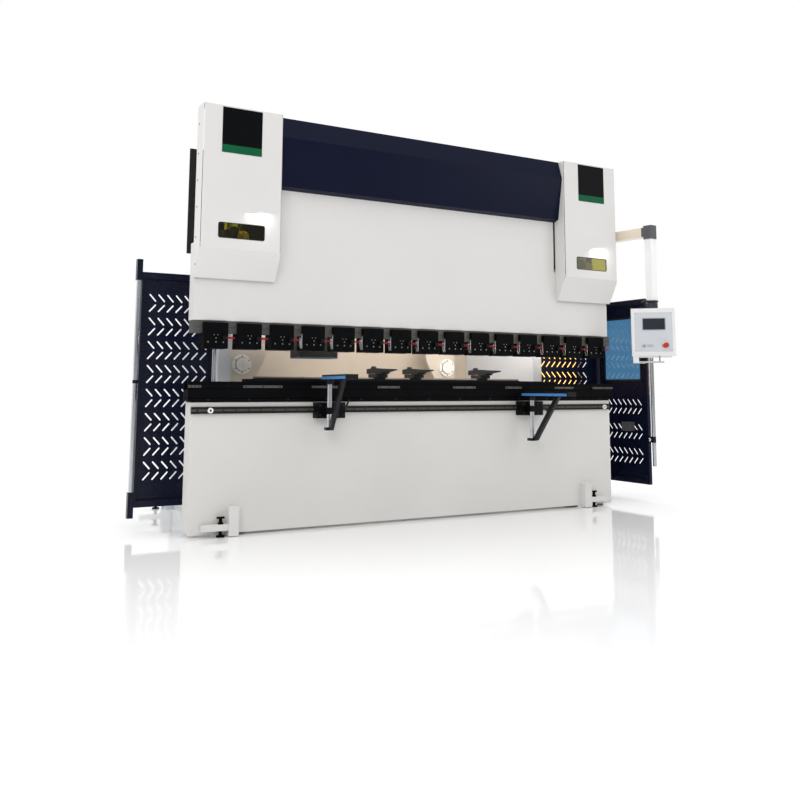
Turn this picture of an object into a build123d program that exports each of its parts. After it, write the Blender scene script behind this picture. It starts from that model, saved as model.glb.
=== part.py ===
from build123d import *
import math
import os

# Hydraulic press brake with a 3200 mm bed. Millimetres, +X to the operator's right, +Y to the rear, +Z up.
# The origin is on the floor, at the middle of the four anchor holes under the side frames.
# Places along Y are given as depths behind the bed's front face, which is also the front face of the ram.

# Driving dimensions
BED_LENGTH = 3200.0
BED_TOP = 764.0
BED_BOTTOM = 15.0
PLATE = 90.0                    # thickness of the bed plate and of the ram plate
FRONT_Y = -750.0                # Y of the bed's front face
RAM_BOTTOM = 1240.0
RAM_SHOULDER = 1700.0           # top of the ram's ends, under the cylinders
RAM_TOP = 2400.0
TOP = 2516.0                    # top of the sheet covers
SHEET = 3.0
FRAME_INNER = 1220.0            # X of the inner faces of the two side frames
FRAME_THICK = 80.0
THROAT_DEPTH = 420.0
BEND_DEPTH = 45.0               # plane of the punch tip and the die's openings
ANCHOR_DEPTHS = (160.0, 1340.0)
ANCHOR_RADIUS = 13.0
CYLINDER_X = 1362.0
CYLINDER_RADIUS = 110.0
ROD_RADIUS = 60.0
RUNNING = 0.05                  # radial clearance of running fits
CLAMP_COUNT = 15
CLAMP_PITCH = 209.5
CLAMP_WIDTH = 148.0
CLAMP_BOTTOM = 1075.0
CLAMP_TOP = 1228.0
CLAMP_FACE = -22.0              # depth of the clamps' front faces
LEVER_Z = 1138.0
DIE_TOP = 900.0
DIE_FLOOR = 836.0                # bottom of the pocket that the die sits in
HOLDER_TOP = 884.0
HOLDER_BOTTOM = 771.0
RAIL_Z = (697.0, 737.0)
RAIL_DEPTH = 15.0
COVER_X = (1108.0, 1612.0)
COVER_DEPTH = -116.0
COVER_BOTTOM = 1487.0
COVER_BEND = 1655.0
WINDOW = (288.0, 92.0, 1764.0)  # width, height and middle height of the cover windows
WING_DEPTH = 440.0
WING_Z = (137.0, 1553.0)
LEFT_WING_X = (-1834.0, -1336.0)
WING_HINGE_X = -1318.0
WING_TUBE_RADIUS = 12.0
TUBE_RADIUS = 15.0              # chromed tubes on the outer edges of the wing and the side door
FIXED_WING_DEPTH = 605.0
SIDE_Z = (119.0, 1556.0)         # the fixed wing and the side door on the right
SIDE_DOOR_X = 2040.0
SIDE_DOOR_DEPTHS = (33.0, 560.0)
SIDE_HINGE = (2066.0, 575.0)    # X and depth of the side door's hinge pins
SIDE_HINGE_Z = (300.0, 1340.0)
SLOT_LENGTH = 60.0
SLOT_WIDTH = 9.0
SLOT_PITCH = 55.0
SLOT_TILT = 48.0
GAUGE_X = 884.0
GAUGE_Z = 1016.0
BEAM_DEPTH = 590.0
BEAM_TOP = 922.0
BEAM_X = (-1000.0, 1190.0)
DIE_BARS = [(-1617, -1542), (-1287, -1038), (-842, -666), (-381, -217), (199, 381), (634, 774), (1072, 1248),
            (1434, 1539), (1546, 1631)]
FINGER_X = {"left": -55.0, "middle": 246.0, "right": 838.0}
SUPPORT_X = {"left": -735.0, "right": 822.0}
SUPPORT_BAR_TOP = {"left": 928.0, "right": 826.0}
SUPPORT_TURN = {"left": -8.0, "right": 3.0}
SUPPORT_ROD_RADIUS = 17.0
FOOT_BOLT_X = 1408.0
FOOT_BOLT_RADIUS = 10.0
SUPPORT_ROD_DEPTH = -100.0
POST_X = 1780.0
POST_DEPTH = -295.0
PIVOT_X = 1640.0
PIVOT_DEPTH = 680.0
BOOM_Z = (1982.0, 2051.0)
POST_BOTTOM = 1500.0
BOX_ANGLE = -45.0               # turn of the control box towards the operator
BOX_SIZE = (312.0, 95.0, 348.0)
BOX_Z = 1089.0                  # underside of the control box

os.makedirs("parts", exist_ok=True)


def write_shape(shape, name):
    """Labels a finished shape and writes it as its own STEP file."""
    shape.label = name
    export_step(shape, f"parts/{name}.step")


def write(builder, name):
    """Writes a finished piece as its own STEP file."""
    write_shape(builder.part, name)


def point(x, depth, z):
    return (x, FRONT_Y + depth, z)


def block(xs, depths, zs, mode=Mode.ADD):
    """A straight-sided block between the given limits."""
    middle = point(sum(xs) / 2, sum(depths) / 2, sum(zs) / 2)
    with Locations(middle):
        Box(abs(xs[1] - xs[0]), abs(depths[1] - depths[0]), abs(zs[1] - zs[0]), mode=mode)


def mirrored(xs, side):
    """Limits along X for the left (-1) or the right (+1) of the machine."""
    return sorted((side * xs[0], side * xs[1]))


def rod_y(x, z, radius, depths, mode=Mode.ADD):
    """A round bar or hole along Y."""
    with BuildSketch(Plane.XZ.offset(-(FRONT_Y + depths[0]))) as section:
        with Locations((x, z)):
            Circle(radius)
    extrude(section.sketch, amount=-(depths[1] - depths[0]), mode=mode)


def rod_z(x, depth, radius, zs, mode=Mode.ADD):
    """A round bar or hole along Z."""
    with BuildSketch(Plane.XY.offset(zs[0])) as section:
        with Locations((x, FRONT_Y + depth)):
            Circle(radius)
    extrude(section.sketch, amount=zs[1] - zs[0], mode=mode)


def rod_x(xs, depth, z, radius, mode=Mode.ADD):
    """A round bar or hole along X."""
    with BuildSketch(Plane.YZ.offset(xs[0])) as section:
        with Locations((FRONT_Y + depth, z)):
            Circle(radius)
    extrude(section.sketch, amount=xs[1] - xs[0], mode=mode)


def side_profile(x0, x1, outline, mode=Mode.ADD):
    """A plate between x0 and x1 with a closed outline of (depth, z) points."""
    with BuildSketch(Plane.YZ.offset(x0)) as section:
        with BuildLine():
            Polyline([(FRONT_Y + depth, z) for depth, z in outline], close=True)
        make_face()
    extrude(section.sketch, amount=x1 - x0, mode=mode)


# Side frames: one steel plate each, cut out to a C round the throat
def side_frame(side):
    x0, x1 = mirrored((FRAME_INNER, FRAME_INNER + FRAME_THICK), side)
    back, top_back, top_front = 1400.0, 1020.0, 172.0
    outline = [(PLATE + 1, 0), (back, 0), (back, 1180), (top_back, 1560), (top_back, TOP - SHEET),
               (top_front, TOP - SHEET), (top_front, 1640), (PLATE + 10, 1560), (PLATE + 10, 1260),
               (PLATE + 1, 1260)]
    with BuildPart() as frame:
        side_profile(x0, x1, outline)
        with BuildSketch(Plane.YZ.offset(x0)):
            with Locations((FRONT_Y + PLATE + (THROAT_DEPTH - PLATE) / 2 - 60, 1010)):
                RectangleRounded(THROAT_DEPTH - PLATE + 120, 500, 110)
        extrude(amount=x1 - x0, mode=Mode.SUBTRACT)
        for depth in ANCHOR_DEPTHS:
            foot_x = mirrored((FRAME_INNER, FRAME_INNER + 140), side)
            block(foot_x, (depth - 60, depth + 60), (0, 22))
        for depth in ANCHOR_DEPTHS:
            rod_z(side * (FRAME_INNER + 112), depth, ANCHOR_RADIUS, (-1, 23), Mode.SUBTRACT)
        if side < 0:
            for z in (264, 1340):
                block((WING_HINGE_X, x0 + 5), (WING_DEPTH - 16, WING_DEPTH + 16), (z, z + 34))
                rod_z(WING_HINGE_X, WING_DEPTH, 18, (z, z + 34))
                rod_z(WING_HINGE_X, WING_DEPTH, WING_TUBE_RADIUS + RUNNING, (z - 1, z + 35), Mode.SUBTRACT)
    return frame


def make_frames():
    write(side_frame(-1), "left_frame")
    write(side_frame(1), "right_frame")


def make_bed():
    half = BED_LENGTH / 2
    with BuildPart() as bed:
        with BuildSketch(Plane.XZ.offset(-FRONT_Y)):
            with Locations((0, (BED_TOP + BED_BOTTOM) / 2)):
                Rectangle(BED_LENGTH, BED_TOP - BED_BOTTOM)
            chamfer(vertices().group_by(Axis.Y)[0], 14)
        extrude(amount=-PLATE)
        block((-half + 60, half - 60), (PLATE, PLATE + 1), (60, 700))
        edge_line = edges().filter_by(Axis.X).group_by(Axis.Z)[-1].sort_by(Axis.Y)[0]
        chamfer(edge_line, 3)
    write(bed, "bed_beam")


def make_feet():
    with BuildPart() as brackets:
        for side in (-1, 1):
            block(mirrored((1306, 1366), side), (-52, -1), (4, 168))
            block(mirrored((1366, 1521), side), (-44, -8), (36, 72))
            block(mirrored((1306, 1366), side), (1330, 1400), (24, 168))
            block(mirrored((1366, 1521), side), (1348, 1384), (36, 72))
        for side in (-1, 1):
            for depth in (-26, 1366):
                rod_z(side * FOOT_BOLT_X, depth, FOOT_BOLT_RADIUS + RUNNING, (35, 73), Mode.SUBTRACT)
    write(brackets, "foot_brackets")

    with BuildPart() as feet:
        for side in (-1, 1):
            for depth in (-26, 1366):
                x = side * FOOT_BOLT_X
                rod_z(x, depth, FOOT_BOLT_RADIUS, (8, 108))
                rod_z(x, depth, 24, (0, 10))
                rod_z(x, depth, 16, (72, 82))
                block((x - 22, x + 22), (depth - 8, depth + 8), (104, 114))
    write(feet, "levelling_feet")


def make_crossbeams():
    with BuildPart() as beams:
        block((-FRAME_INNER, FRAME_INNER), (176, 240), (2250, TOP - SHEET))
        block((-FRAME_INNER, FRAME_INNER), (900, 960), (1700, 2300))
        block((-FRAME_INNER, FRAME_INNER), (1260, 1340), (620, 860))
        block((-FRAME_INNER, FRAME_INNER), (1200, 1260), (90, 260))
    write(beams, "rear_crossbeams")


def make_oil_tank():
    with BuildPart() as tank:
        block((-900, 900), (300, 860), (2000, 2480))
        block((-900, 900), (300, 860), (2480, 2492))
        outer_edges = edges().filter_by(Axis.Z)
        fillet(outer_edges, 12)
        block((-894, 894), (306, 854), (2006, 2474), Mode.SUBTRACT)
        block((-960, -900), (560, 600), (2200, 2260))
        block((900, 960), (560, 600), (2200, 2260))
        block((-FRAME_INNER, -900), (540, 620), (2120, 2200))
        block((900, FRAME_INNER), (540, 620), (2120, 2200))
        rod_z(-700, 480, 45, (2492, 2512))
    write(tank, "oil_tank")


def make_drives():
    with BuildPart() as drives:
        rod_x((-160, 240), 700, 1840, 130)
        rod_x((240, 262), 700, 1840, 150)
        rod_x((262, 420), 700, 1840, 78)
        block((-120, 200), (620, 780), (1690, 1730))
        block((-60, 140), (690, 900), (1730, 1760))
        rod_z(340, 700, 30, (1905, 2000))
        block((-664, -372), (600, 760), (1052, 1205))
        block((-560, -520), (680, 720), (1205, 1730))
        block((-560, -520), (680, 900), (1730, 1770))
    write(drives, "drive_motors")


def make_cylinders():
    with BuildPart() as barrels:
        for side in (-1, 1):
            rod_z(side * CYLINDER_X, BEND_DEPTH, CYLINDER_RADIUS, (1850, 2440))
            rod_z(side * CYLINDER_X, BEND_DEPTH, CYLINDER_RADIUS + 16, (1850, 1880))
            block(mirrored((FRAME_INNER + FRAME_THICK, 1440), side), (100, 320), (1900, 2380))
            block(mirrored((1290, 1430), side), (20, 150), (2440, 2500))
        for side in (-1, 1):
            rod_z(side * CYLINDER_X, BEND_DEPTH, ROD_RADIUS + RUNNING, (1849, 2330), Mode.SUBTRACT)
    write(barrels, "cylinder_barrels")

    with BuildPart() as rods:
        for side in (-1, 1):
            rod_z(side * CYLINDER_X, BEND_DEPTH, ROD_RADIUS, (RAM_SHOULDER, 2250))
            rod_z(side * CYLINDER_X, BEND_DEPTH, 82, (RAM_SHOULDER, 1786))
    write(rods, "cylinder_rods")


def cover_outline(inset):
    """Side view of a cylinder cover: upright front, drawn back towards the ram below the bend."""
    back = -2.0
    return [(back, TOP - inset), (COVER_DEPTH + inset, TOP - inset), (COVER_DEPTH + inset, COVER_BEND),
            (-24 + inset, COVER_BOTTOM), (back, COVER_BOTTOM)]


def make_cylinder_cover(side, name):
    x0, x1 = mirrored(COVER_X, side)
    middle = (x0 + x1) / 2
    with BuildPart() as cover:
        side_profile(x0, x1, cover_outline(0))
        fillet(edges().filter_by(Axis.Z).group_by(Axis.Y)[0], 14)
        inner = [(depth + (4 if depth == -2.0 else 0), z - (1 if z == COVER_BOTTOM else 0))
                 for depth, z in cover_outline(SHEET)]
        side_profile(x0 + SHEET, x1 - SHEET, inner, Mode.SUBTRACT)
        block(mirrored((COVER_X[0] + 20, 1400), side), (-2, 240), (TOP - SHEET, TOP))
        with BuildSketch(Plane.XZ.offset(-(FRONT_Y + COVER_DEPTH - 1))):
            with Locations((middle, WINDOW[2])):
                RectangleRounded(WINDOW[0], WINDOW[1], 12)
        extrude(amount=-(SHEET + 2), mode=Mode.SUBTRACT)
    write(cover, name)


def make_covers():
    make_cylinder_cover(-1, "left_cylinder_cover")
    make_cylinder_cover(1, "right_cylinder_cover")
    middle = sum(COVER_X) / 2
    with BuildPart() as windows:
        for side in (-1, 1):
            face = COVER_DEPTH + SHEET
            block((side * middle - 160, side * middle + 160), (face, face + 4), (1704, 1824))
    write(windows, "cover_windows")

    half = COVER_X[0] - 1
    with BuildPart() as top_cover:
        outer = [(176, TOP - 1), (-60, TOP - 1), (-98, 2384), (-47, 2084), (-2, 2070), (-2, TOP - 4),
                 (176, TOP - 4)]
        side_profile(-half, half, outer)
        inner = [(-5, TOP - 4), (-57.5, TOP - 4), (-94.8, 2384), (-44.5, 2086.4), (-5, 2074.5)]
        side_profile(-half - 1, half + 1, inner, Mode.SUBTRACT)
        block((-half, half), (-6, -1), (2076, TOP - 4), Mode.SUBTRACT)
    write(top_cover, "top_cover")


def make_dies():
    with BuildPart() as holder:
        outline = [(-14, HOLDER_BOTTOM), (PLATE + 14, HOLDER_BOTTOM), (PLATE + 14, 782), (PLATE, 788),
                   (PLATE, HOLDER_TOP), (76, HOLDER_TOP), (76, DIE_FLOOR), (14, DIE_FLOOR), (14, HOLDER_TOP),
                   (4, HOLDER_TOP), (4, 866), (-6, 866), (-6, 846), (0, 842), (0, 788), (-14, 782)]
        side_profile(-1617, 1635, outline)
        block((-1600, 1600), (0, PLATE), (BED_TOP, HOLDER_BOTTOM))
    write(holder, "die_holder")

    with BuildPart() as bars:
        for left, right in DIE_BARS:
            block((left, right), (-13, -6), (847, 862))
            for place in (left + 16, (left + right) / 2, right - 16):
                rod_y(place, 854.5, 3.4, (-14, -5), Mode.SUBTRACT)
    write(bars, "die_clamp_bars")

    with BuildPart() as die:
        low, half = DIE_FLOOR, 30.0
        front, back = BEND_DEPTH - half, BEND_DEPTH + half
        outline = [(front, low), (BEND_DEPTH - 8, low), (BEND_DEPTH, low + 9), (BEND_DEPTH + 8, low),
                   (back, low), (back, low + 16), (back - 12, low + 31), (back, low + 46), (back, DIE_TOP),
                   (BEND_DEPTH + 16, DIE_TOP), (BEND_DEPTH, DIE_TOP - 17), (BEND_DEPTH - 16, DIE_TOP),
                   (front, DIE_TOP), (front, low + 50), (front + 7, low + 41), (front, low + 32)]
        side_profile(-1265, 1095, outline)
    write(die, "multi_vee_die")


def make_front_rail():
    half = BED_LENGTH / 2
    with BuildPart() as rail:
        outline = [(0, RAIL_Z[0]), (0, RAIL_Z[1]), (-RAIL_DEPTH, RAIL_Z[1]), (-RAIL_DEPTH, RAIL_Z[1] - 11),
                   (-RAIL_DEPTH + 4, RAIL_Z[1] - 14), (-RAIL_DEPTH + 4, RAIL_Z[0] + 14),
                   (-RAIL_DEPTH, RAIL_Z[0] + 11), (-RAIL_DEPTH, RAIL_Z[0])]
        side_profile(-half + 4, half - 4, outline)
        for index in range(-20, 21):
            rod_y(index * 78.0, 717, 5.5, (-RAIL_DEPTH, -RAIL_DEPTH + 10), Mode.SUBTRACT)
        for x in (-1486, 1536):
            rod_y(x, 716, 16, (-RAIL_DEPTH - 12, -RAIL_DEPTH + 4))
            rod_y(x, 716, 7, (-RAIL_DEPTH - 13, -RAIL_DEPTH), Mode.SUBTRACT)
    write(rail, "front_rail")


def make_ram():
    half = BED_LENGTH / 2
    with BuildPart() as ram:
        block((-half, half), (0, PLATE), (RAM_BOTTOM, RAM_SHOULDER))
        block((-1095, 1095), (0, PLATE), (RAM_SHOULDER, RAM_TOP))
        chamfer(edges().filter_by(Axis.X).group_by(Axis.Z)[0].sort_by(Axis.Y)[0], 3)
        for side in (-1, 1):
            block(mirrored((1165, 1185), side), (PLATE, 150), (1300, 1690))
    write(ram, "ram_beam")

    with BuildPart() as rail:
        block((-half + 2, half + 28), (8, 82), (1204, RAM_BOTTOM))
        block((-half + 2, half + 28), (8, 82), (1166, 1202.5))
        block((-half + 2, half + 2), (14, 76), (1202.5, 1204))
    write(rail, "clamp_rail")

    with BuildPart() as guides:
        for side in (-1, 1):
            block(mirrored((1140, FRAME_INNER), side), (PLATE + 20, 230), (1270, 1740))
            block(mirrored((1164.7, 1185.3), side), (PLATE + 19, 150.3), (1269, 1741), Mode.SUBTRACT)
    write(guides, "ram_guides")


def clamp_middles():
    first = -CLAMP_PITCH * (CLAMP_COUNT - 1) / 2
    return [first + CLAMP_PITCH * index for index in range(CLAMP_COUNT)]


def make_clamps():
    with BuildPart() as clamps:
        for middle in clamp_middles():
            left, right = middle - CLAMP_WIDTH / 2, middle + CLAMP_WIDTH / 2
            outline = [(CLAMP_FACE, CLAMP_BOTTOM), (36, CLAMP_BOTTOM), (36, 1108), (54, 1108),
                       (54, CLAMP_BOTTOM), (78, CLAMP_BOTTOM), (78, 1166), (8, 1166), (8, CLAMP_TOP),
                       (CLAMP_FACE, CLAMP_TOP)]
            side_profile(left, right, outline)
            for shift in (-45, 0, 45):
                rod_y(middle + shift, 1113, 7, (CLAMP_FACE, CLAMP_FACE + 9), Mode.SUBTRACT)
                rod_y(middle + shift, 1113, 5.4, (CLAMP_FACE + 3, CLAMP_FACE + 9))
            rod_y(middle, 1137, 6, (CLAMP_FACE, CLAMP_FACE + 9), Mode.SUBTRACT)
            rod_y(middle + 48, LEVER_Z, 9, (CLAMP_FACE - 8, CLAMP_FACE))
    write(clamps, "upper_clamps")

    for index, middle in enumerate(clamp_middles(), start=1):
        with BuildPart() as lever:
            pivot = middle + 48
            rod_y(pivot, LEVER_Z, 13, (CLAMP_FACE - 22, CLAMP_FACE - 8.4))
            with BuildSketch(Plane.XZ.offset(-(FRONT_Y + CLAMP_FACE - 20))):
                with BuildLine():
                    Polyline((pivot - 6, LEVER_Z - 6), (pivot + 34, LEVER_Z - 5), (pivot + 62, LEVER_Z - 4),
                             (pivot + 62, LEVER_Z + 4), (pivot + 34, LEVER_Z + 6), (pivot - 6, LEVER_Z + 6),
                             close=True)
                make_face()
                fillet(vertices().group_by(Axis.X)[-1], 3)
            extrude(amount=-10)
        write(lever, f"clamp_lever_{index:02d}")


def chevrons(columns, first, pair_tops, across):
    """Cuts rows of slanted slots that meet in pairs, pointing away from the first column."""
    for z in pair_tops:
        upper = [(first + SLOT_PITCH * index, z) for index in range(columns)]
        lower = [(u, v - across) for u, v in upper]
        with Locations(*upper):
            SlotOverall(SLOT_LENGTH, SLOT_WIDTH, rotation=-SLOT_TILT, mode=Mode.SUBTRACT)
        with Locations(*lower):
            SlotOverall(SLOT_LENGTH, SLOT_WIDTH, rotation=SLOT_TILT, mode=Mode.SUBTRACT)


def make_guards():
    pair_tops = [WING_Z[1] - 155 - 145.5 * index for index in range(8)]
    x0, x1 = LEFT_WING_X
    sheet_x0, low, high = x0 + 34, WING_Z[0], WING_Z[1]
    with BuildPart() as wing:
        with BuildSketch(Plane.XZ.offset(-(FRONT_Y + WING_DEPTH))):
            with Locations(((sheet_x0 + x1 - 15) / 2, (low + high) / 2)):
                Rectangle(x1 - 15 - sheet_x0, high - low)
            chevrons(7, sheet_x0 + 76, pair_tops, 64)
        extrude(amount=-SHEET)
        for zs in ((high - 40, high), (low, low + 40)):
            block((sheet_x0, x1 - 15), (WING_DEPTH - 26, WING_DEPTH + SHEET), zs)
        block((sheet_x0, sheet_x0 + 15), (WING_DEPTH - 26, WING_DEPTH + SHEET), (low, high))
        for zs in ((low - 60, low + 91), (high - 53, high + 77)):
            block((x0, sheet_x0), (WING_DEPTH - 34, WING_DEPTH + SHEET), zs)
        rod_z(x0 + 17, WING_DEPTH - 16, TUBE_RADIUS, (low + 91, high - 53))
        block((x0 + 17, sheet_x0 + 1), (WING_DEPTH - 22, WING_DEPTH - 10), (872, 892))
        block((x1 - 15, x1), (WING_DEPTH - 8, WING_DEPTH + 14), WING_Z)
        rod_z(WING_HINGE_X, WING_DEPTH, WING_TUBE_RADIUS, (low + 40, high - 40))
        for z in (low + 84, high - 124):
            block((x1, WING_HINGE_X), (WING_DEPTH - 6, WING_DEPTH + 6), (z, z + 40))
    write(wing, "left_wing_guard")

    wall_x, face = FRAME_INNER + FRAME_THICK, FIXED_WING_DEPTH
    pair_tops = [SIDE_Z[1] - 150 - 148 * index for index in range(8)]
    with BuildPart() as fixed_wing:
        right_end = SIDE_DOOR_X - 30
        with BuildSketch(Plane.XZ.offset(-(FRONT_Y + face))):
            with Locations(((wall_x + right_end) / 2, sum(SIDE_Z) / 2)):
                Rectangle(right_end - wall_x, SIDE_Z[1] - SIDE_Z[0])
            chevrons(10, wall_x + 110, pair_tops, 65)
        extrude(amount=-SHEET)
        for zs in ((SIDE_Z[1] - 40, SIDE_Z[1]), (SIDE_Z[0], SIDE_Z[0] + 40)):
            block((wall_x, right_end), (face - 26, face + SHEET), zs)
        block((right_end, SIDE_DOOR_X + 15), (face - 16, face + 14), (0, SIDE_Z[1] + 20))
        x, depth = SIDE_HINGE
        for z in SIDE_HINGE_Z:
            block((SIDE_DOOR_X + 8, x), (depth, face - 6), (z, z + 50))
            rod_z(x, depth, 9, (z, z + 50))
            rod_z(x, depth, 5, (z + 50, z + 106))
    write(fixed_wing, "right_wing_guard")


def make_side_door():
    front, back = SIDE_DOOR_DEPTHS
    window_depths, window_z = (110, 500), (925, 1405)
    pair_tops = [745, 551, 362]
    tube_depth = front - 53
    with BuildPart() as door:
        with BuildSketch(Plane.YZ.offset(SIDE_DOOR_X)):
            with Locations((FRONT_Y + (front + back) / 2, sum(SIDE_Z) / 2)):
                Rectangle(back - front - 30, SIDE_Z[1] - SIDE_Z[0])
            with Locations((FRONT_Y + sum(window_depths) / 2, sum(window_z) / 2)):
                RectangleRounded(window_depths[1] - window_depths[0], window_z[1] - window_z[0], 14,
                                 mode=Mode.SUBTRACT)
            for z in pair_tops:
                centres = [(FRONT_Y + 129 + SLOT_PITCH * index, z) for index in range(7)]
                with Locations(*centres):
                    SlotOverall(SLOT_LENGTH, SLOT_WIDTH, rotation=SLOT_TILT, mode=Mode.SUBTRACT)
                with Locations(*[(u, v - 70) for u, v in centres]):
                    SlotOverall(SLOT_LENGTH, SLOT_WIDTH, rotation=-SLOT_TILT, mode=Mode.SUBTRACT)
        extrude(amount=SHEET)
        for depths in ((front, front + 30), (back - 30, back)):
            block((SIDE_DOOR_X - 12, SIDE_DOOR_X + 15), depths, SIDE_Z)
        for zs in ((SIDE_Z[1] - 40, SIDE_Z[1]), (SIDE_Z[0], SIDE_Z[0] + 40)):
            block((SIDE_DOOR_X - 12, SIDE_DOOR_X + 15), (front + 30, back - 30), zs)
        rod_z(SIDE_DOOR_X - 6, tube_depth, TUBE_RADIUS, (262, 1280))
        for z in (440, 1100):
            block((SIDE_DOOR_X - 18, SIDE_DOOR_X + 6), (tube_depth, front), (z, z + 46))
        block((SIDE_DOOR_X - 62, SIDE_DOOR_X), (190, 270), (520, 590))
        x, depth = SIDE_HINGE
        for z in SIDE_HINGE_Z:
            block((SIDE_DOOR_X + 2, x), (back - 20, depth), (z + 51, z + 101))
            rod_z(x, depth, 9, (z + 51, z + 101))
            rod_z(x, depth, 5 + RUNNING, (z + 50, z + 102), Mode.SUBTRACT)
    write(door, "side_door")

    with BuildPart() as pane:
        block((SIDE_DOOR_X - 4, SIDE_DOOR_X), (window_depths[0] - 14, window_depths[1] + 14),
              (window_z[0] - 14, window_z[1] + 14))
    write(pane, "side_door_window")


def make_rear():
    with BuildPart() as panel:
        block((-FRAME_INNER, FRAME_INNER), (1340, 1343), (262, 1236))
        block((-FRAME_INNER, FRAME_INNER), (1343, 1366), (1200, 1236))
        block((-FRAME_INNER, FRAME_INNER), (1343, 1366), (262, 300))
        for x in (-800, -400, 0, 400, 800):
            block((x - 10, x + 10), (1343, 1366), (300, 1200))
    write(panel, "rear_panel")

    left = FRAME_INNER + FRAME_THICK
    right, front, back, low, high = 1880.0, 640.0, 1240.0, 160.0, 1850.0
    with BuildPart() as cabinet:
        block((left, right), (front, back), (low, high))
        block((left + 2, right + 1), (front + 3, back - 3), (low + 3, high - 3), Mode.SUBTRACT)
        for depth in (front + 40, back - 90):
            block((left + 60, left + 110), (depth, depth + 50), (0, low))
            block((right - 110, right - 60), (depth, depth + 50), (0, low))
        block((left + 30, right - 60), (back - 30, back - 3), (low + 60, high - 60))
        rod_z(PIVOT_X, PIVOT_DEPTH, 55, (high, high + 14))
        rod_z(PIVOT_X, PIVOT_DEPTH, 38, (high + 14, BOOM_Z[0] - 1))
        rod_z(PIVOT_X, PIVOT_DEPTH, 16, (BOOM_Z[0] - 1, BOOM_Z[1] + 8))
    write(cabinet, "electrical_cabinet")

    with BuildPart() as door:
        block((right + 0.5, right + 20), (front + 4, back - 4), (low + 4, high - 4))
        for z in (low + 200, high - 260):
            rod_z(right + 12, back + 8, 8, (z, z + 60))
            block((right + 4, right + 16), (back - 4, back + 8), (z, z + 60))
        block((right + 20, right + 34), (front + 40, front + 66), (950, 1090))
    write(door, "cabinet_door")


def make_gauge():
    with BuildPart() as brackets:
        for side in (-1, 1):
            with BuildSketch(Plane.XZ.offset(-(FRONT_Y + 1140))):
                with BuildLine():
                    Polyline((side * 965, 660), (side * 965, 1180), (side * 722, 1180), (side * 688, 1120),
                             (side * 700, 1060), (side * 790, 900), (side * 790, 660), close=True)
                make_face()
                fillet(vertices().filter_by(lambda v: abs(v.X) < 750), 40)
            extrude(amount=-20)
            block(mirrored((790, 965), side), (1160, 1259), (700, 730))
            block(mirrored((945, 965), side), (1160, 1194), (730, 1150))
            rod_y(side * GAUGE_X, GAUGE_Z, 72, (1122, 1140))
            rod_y(side * GAUGE_X, GAUGE_Z, 48, (1108, 1122))
        for x in (-GAUGE_X, GAUGE_X):
            for turn in range(6):
                angle = math.radians(60 * turn + 30)
                screw_x = x + 60 * math.cos(angle)
                screw_z = GAUGE_Z + 60 * math.sin(angle)
                rod_y(screw_x, screw_z, 5, (1121, 1128), Mode.SUBTRACT)
            block((x - 34, x + 34), (1107, 1112), (GAUGE_Z - 5, GAUGE_Z + 5), Mode.SUBTRACT)
            block((x - 5, x + 5), (1107, 1112), (GAUGE_Z - 34, GAUGE_Z + 34), Mode.SUBTRACT)
        for side in (-1, 1):
            block(mirrored((820, 860), side), (180, 1140), (760, 790))
            block(mirrored((800, 880), side), (130, 180), (700, 790))
            block(mirrored((800, 880), side), (91, 130), (700, 760))
        block((-60, 60), (106, 140), (690, 840))
        block((-60, 60), (91, 106), (690, 760))
        block((-50, 50), (1160, 1194), (700, 880))
        block((-80, 80), (1160, 1259), (680, 700))
        rod_y(0, 810, 12 + RUNNING, (91, 141), Mode.SUBTRACT)
        rod_y(0, 810, 12 + RUNNING, (1159, 1195), Mode.SUBTRACT)
    write(brackets, "gauge_brackets")

    with BuildPart() as screw:
        rod_y(0, 810, 12, (100, 1190))
        rod_y(0, 810, 16, (142, 1158))
        rod_y(0, 810, 40, (1146, 1158))
    write(screw, "gauge_screw")

    with BuildPart() as beam:
        block(BEAM_X, (BEAM_DEPTH - 40, BEAM_DEPTH + 40), (850, BEAM_TOP - 14))
        block(BEAM_X, (BEAM_DEPTH - 20, BEAM_DEPTH + 4), (BEAM_TOP - 14, BEAM_TOP))
        for side in (-1, 1):
            block(mirrored((800, 880), side), (BEAM_DEPTH - 70, BEAM_DEPTH + 70), (790.4, 850))
            block(mirrored((800, 819.6), side), (BEAM_DEPTH - 70, BEAM_DEPTH + 70), (762, 790.4))
            block(mirrored((860.4, 880), side), (BEAM_DEPTH - 70, BEAM_DEPTH + 70), (762, 790.4))
        block((-40, 40), (BEAM_DEPTH - 50, BEAM_DEPTH + 50), (776, 850))
        rod_y(0, 810, 16 + RUNNING, (BEAM_DEPTH - 51, BEAM_DEPTH + 51), Mode.SUBTRACT)
    write(beam, "gauge_beam")

    for name, x in FINGER_X.items():
        with BuildPart() as finger:
            block((x - 44, x + 44), (BEAM_DEPTH - 70, BEAM_DEPTH + 60), (BEAM_TOP + 0.4, BEAM_TOP + 26))
            block((x - 44, x + 44), (BEAM_DEPTH + 4.4, BEAM_DEPTH + 22), (BEAM_TOP - 13.6, BEAM_TOP + 0.4))
            block((x - 44, x + 44), (BEAM_DEPTH - 38, BEAM_DEPTH - 20.4), (BEAM_TOP - 13.6, BEAM_TOP + 0.4))
            block((x - 30, x + 30), (470, 575), (BEAM_TOP + 26, 962))
            outline = [(352, 980), (352, 973), (430, 964), (470, 957), (712, 950), (712, 985), (640, 990),
                       (560, 990), (470, 984)]
            side_profile(x - 26, x + 26, outline)
            rod_z(x, 650, 9, (985, 1006))
        write(finger, f"gauge_finger_{name}")


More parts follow.
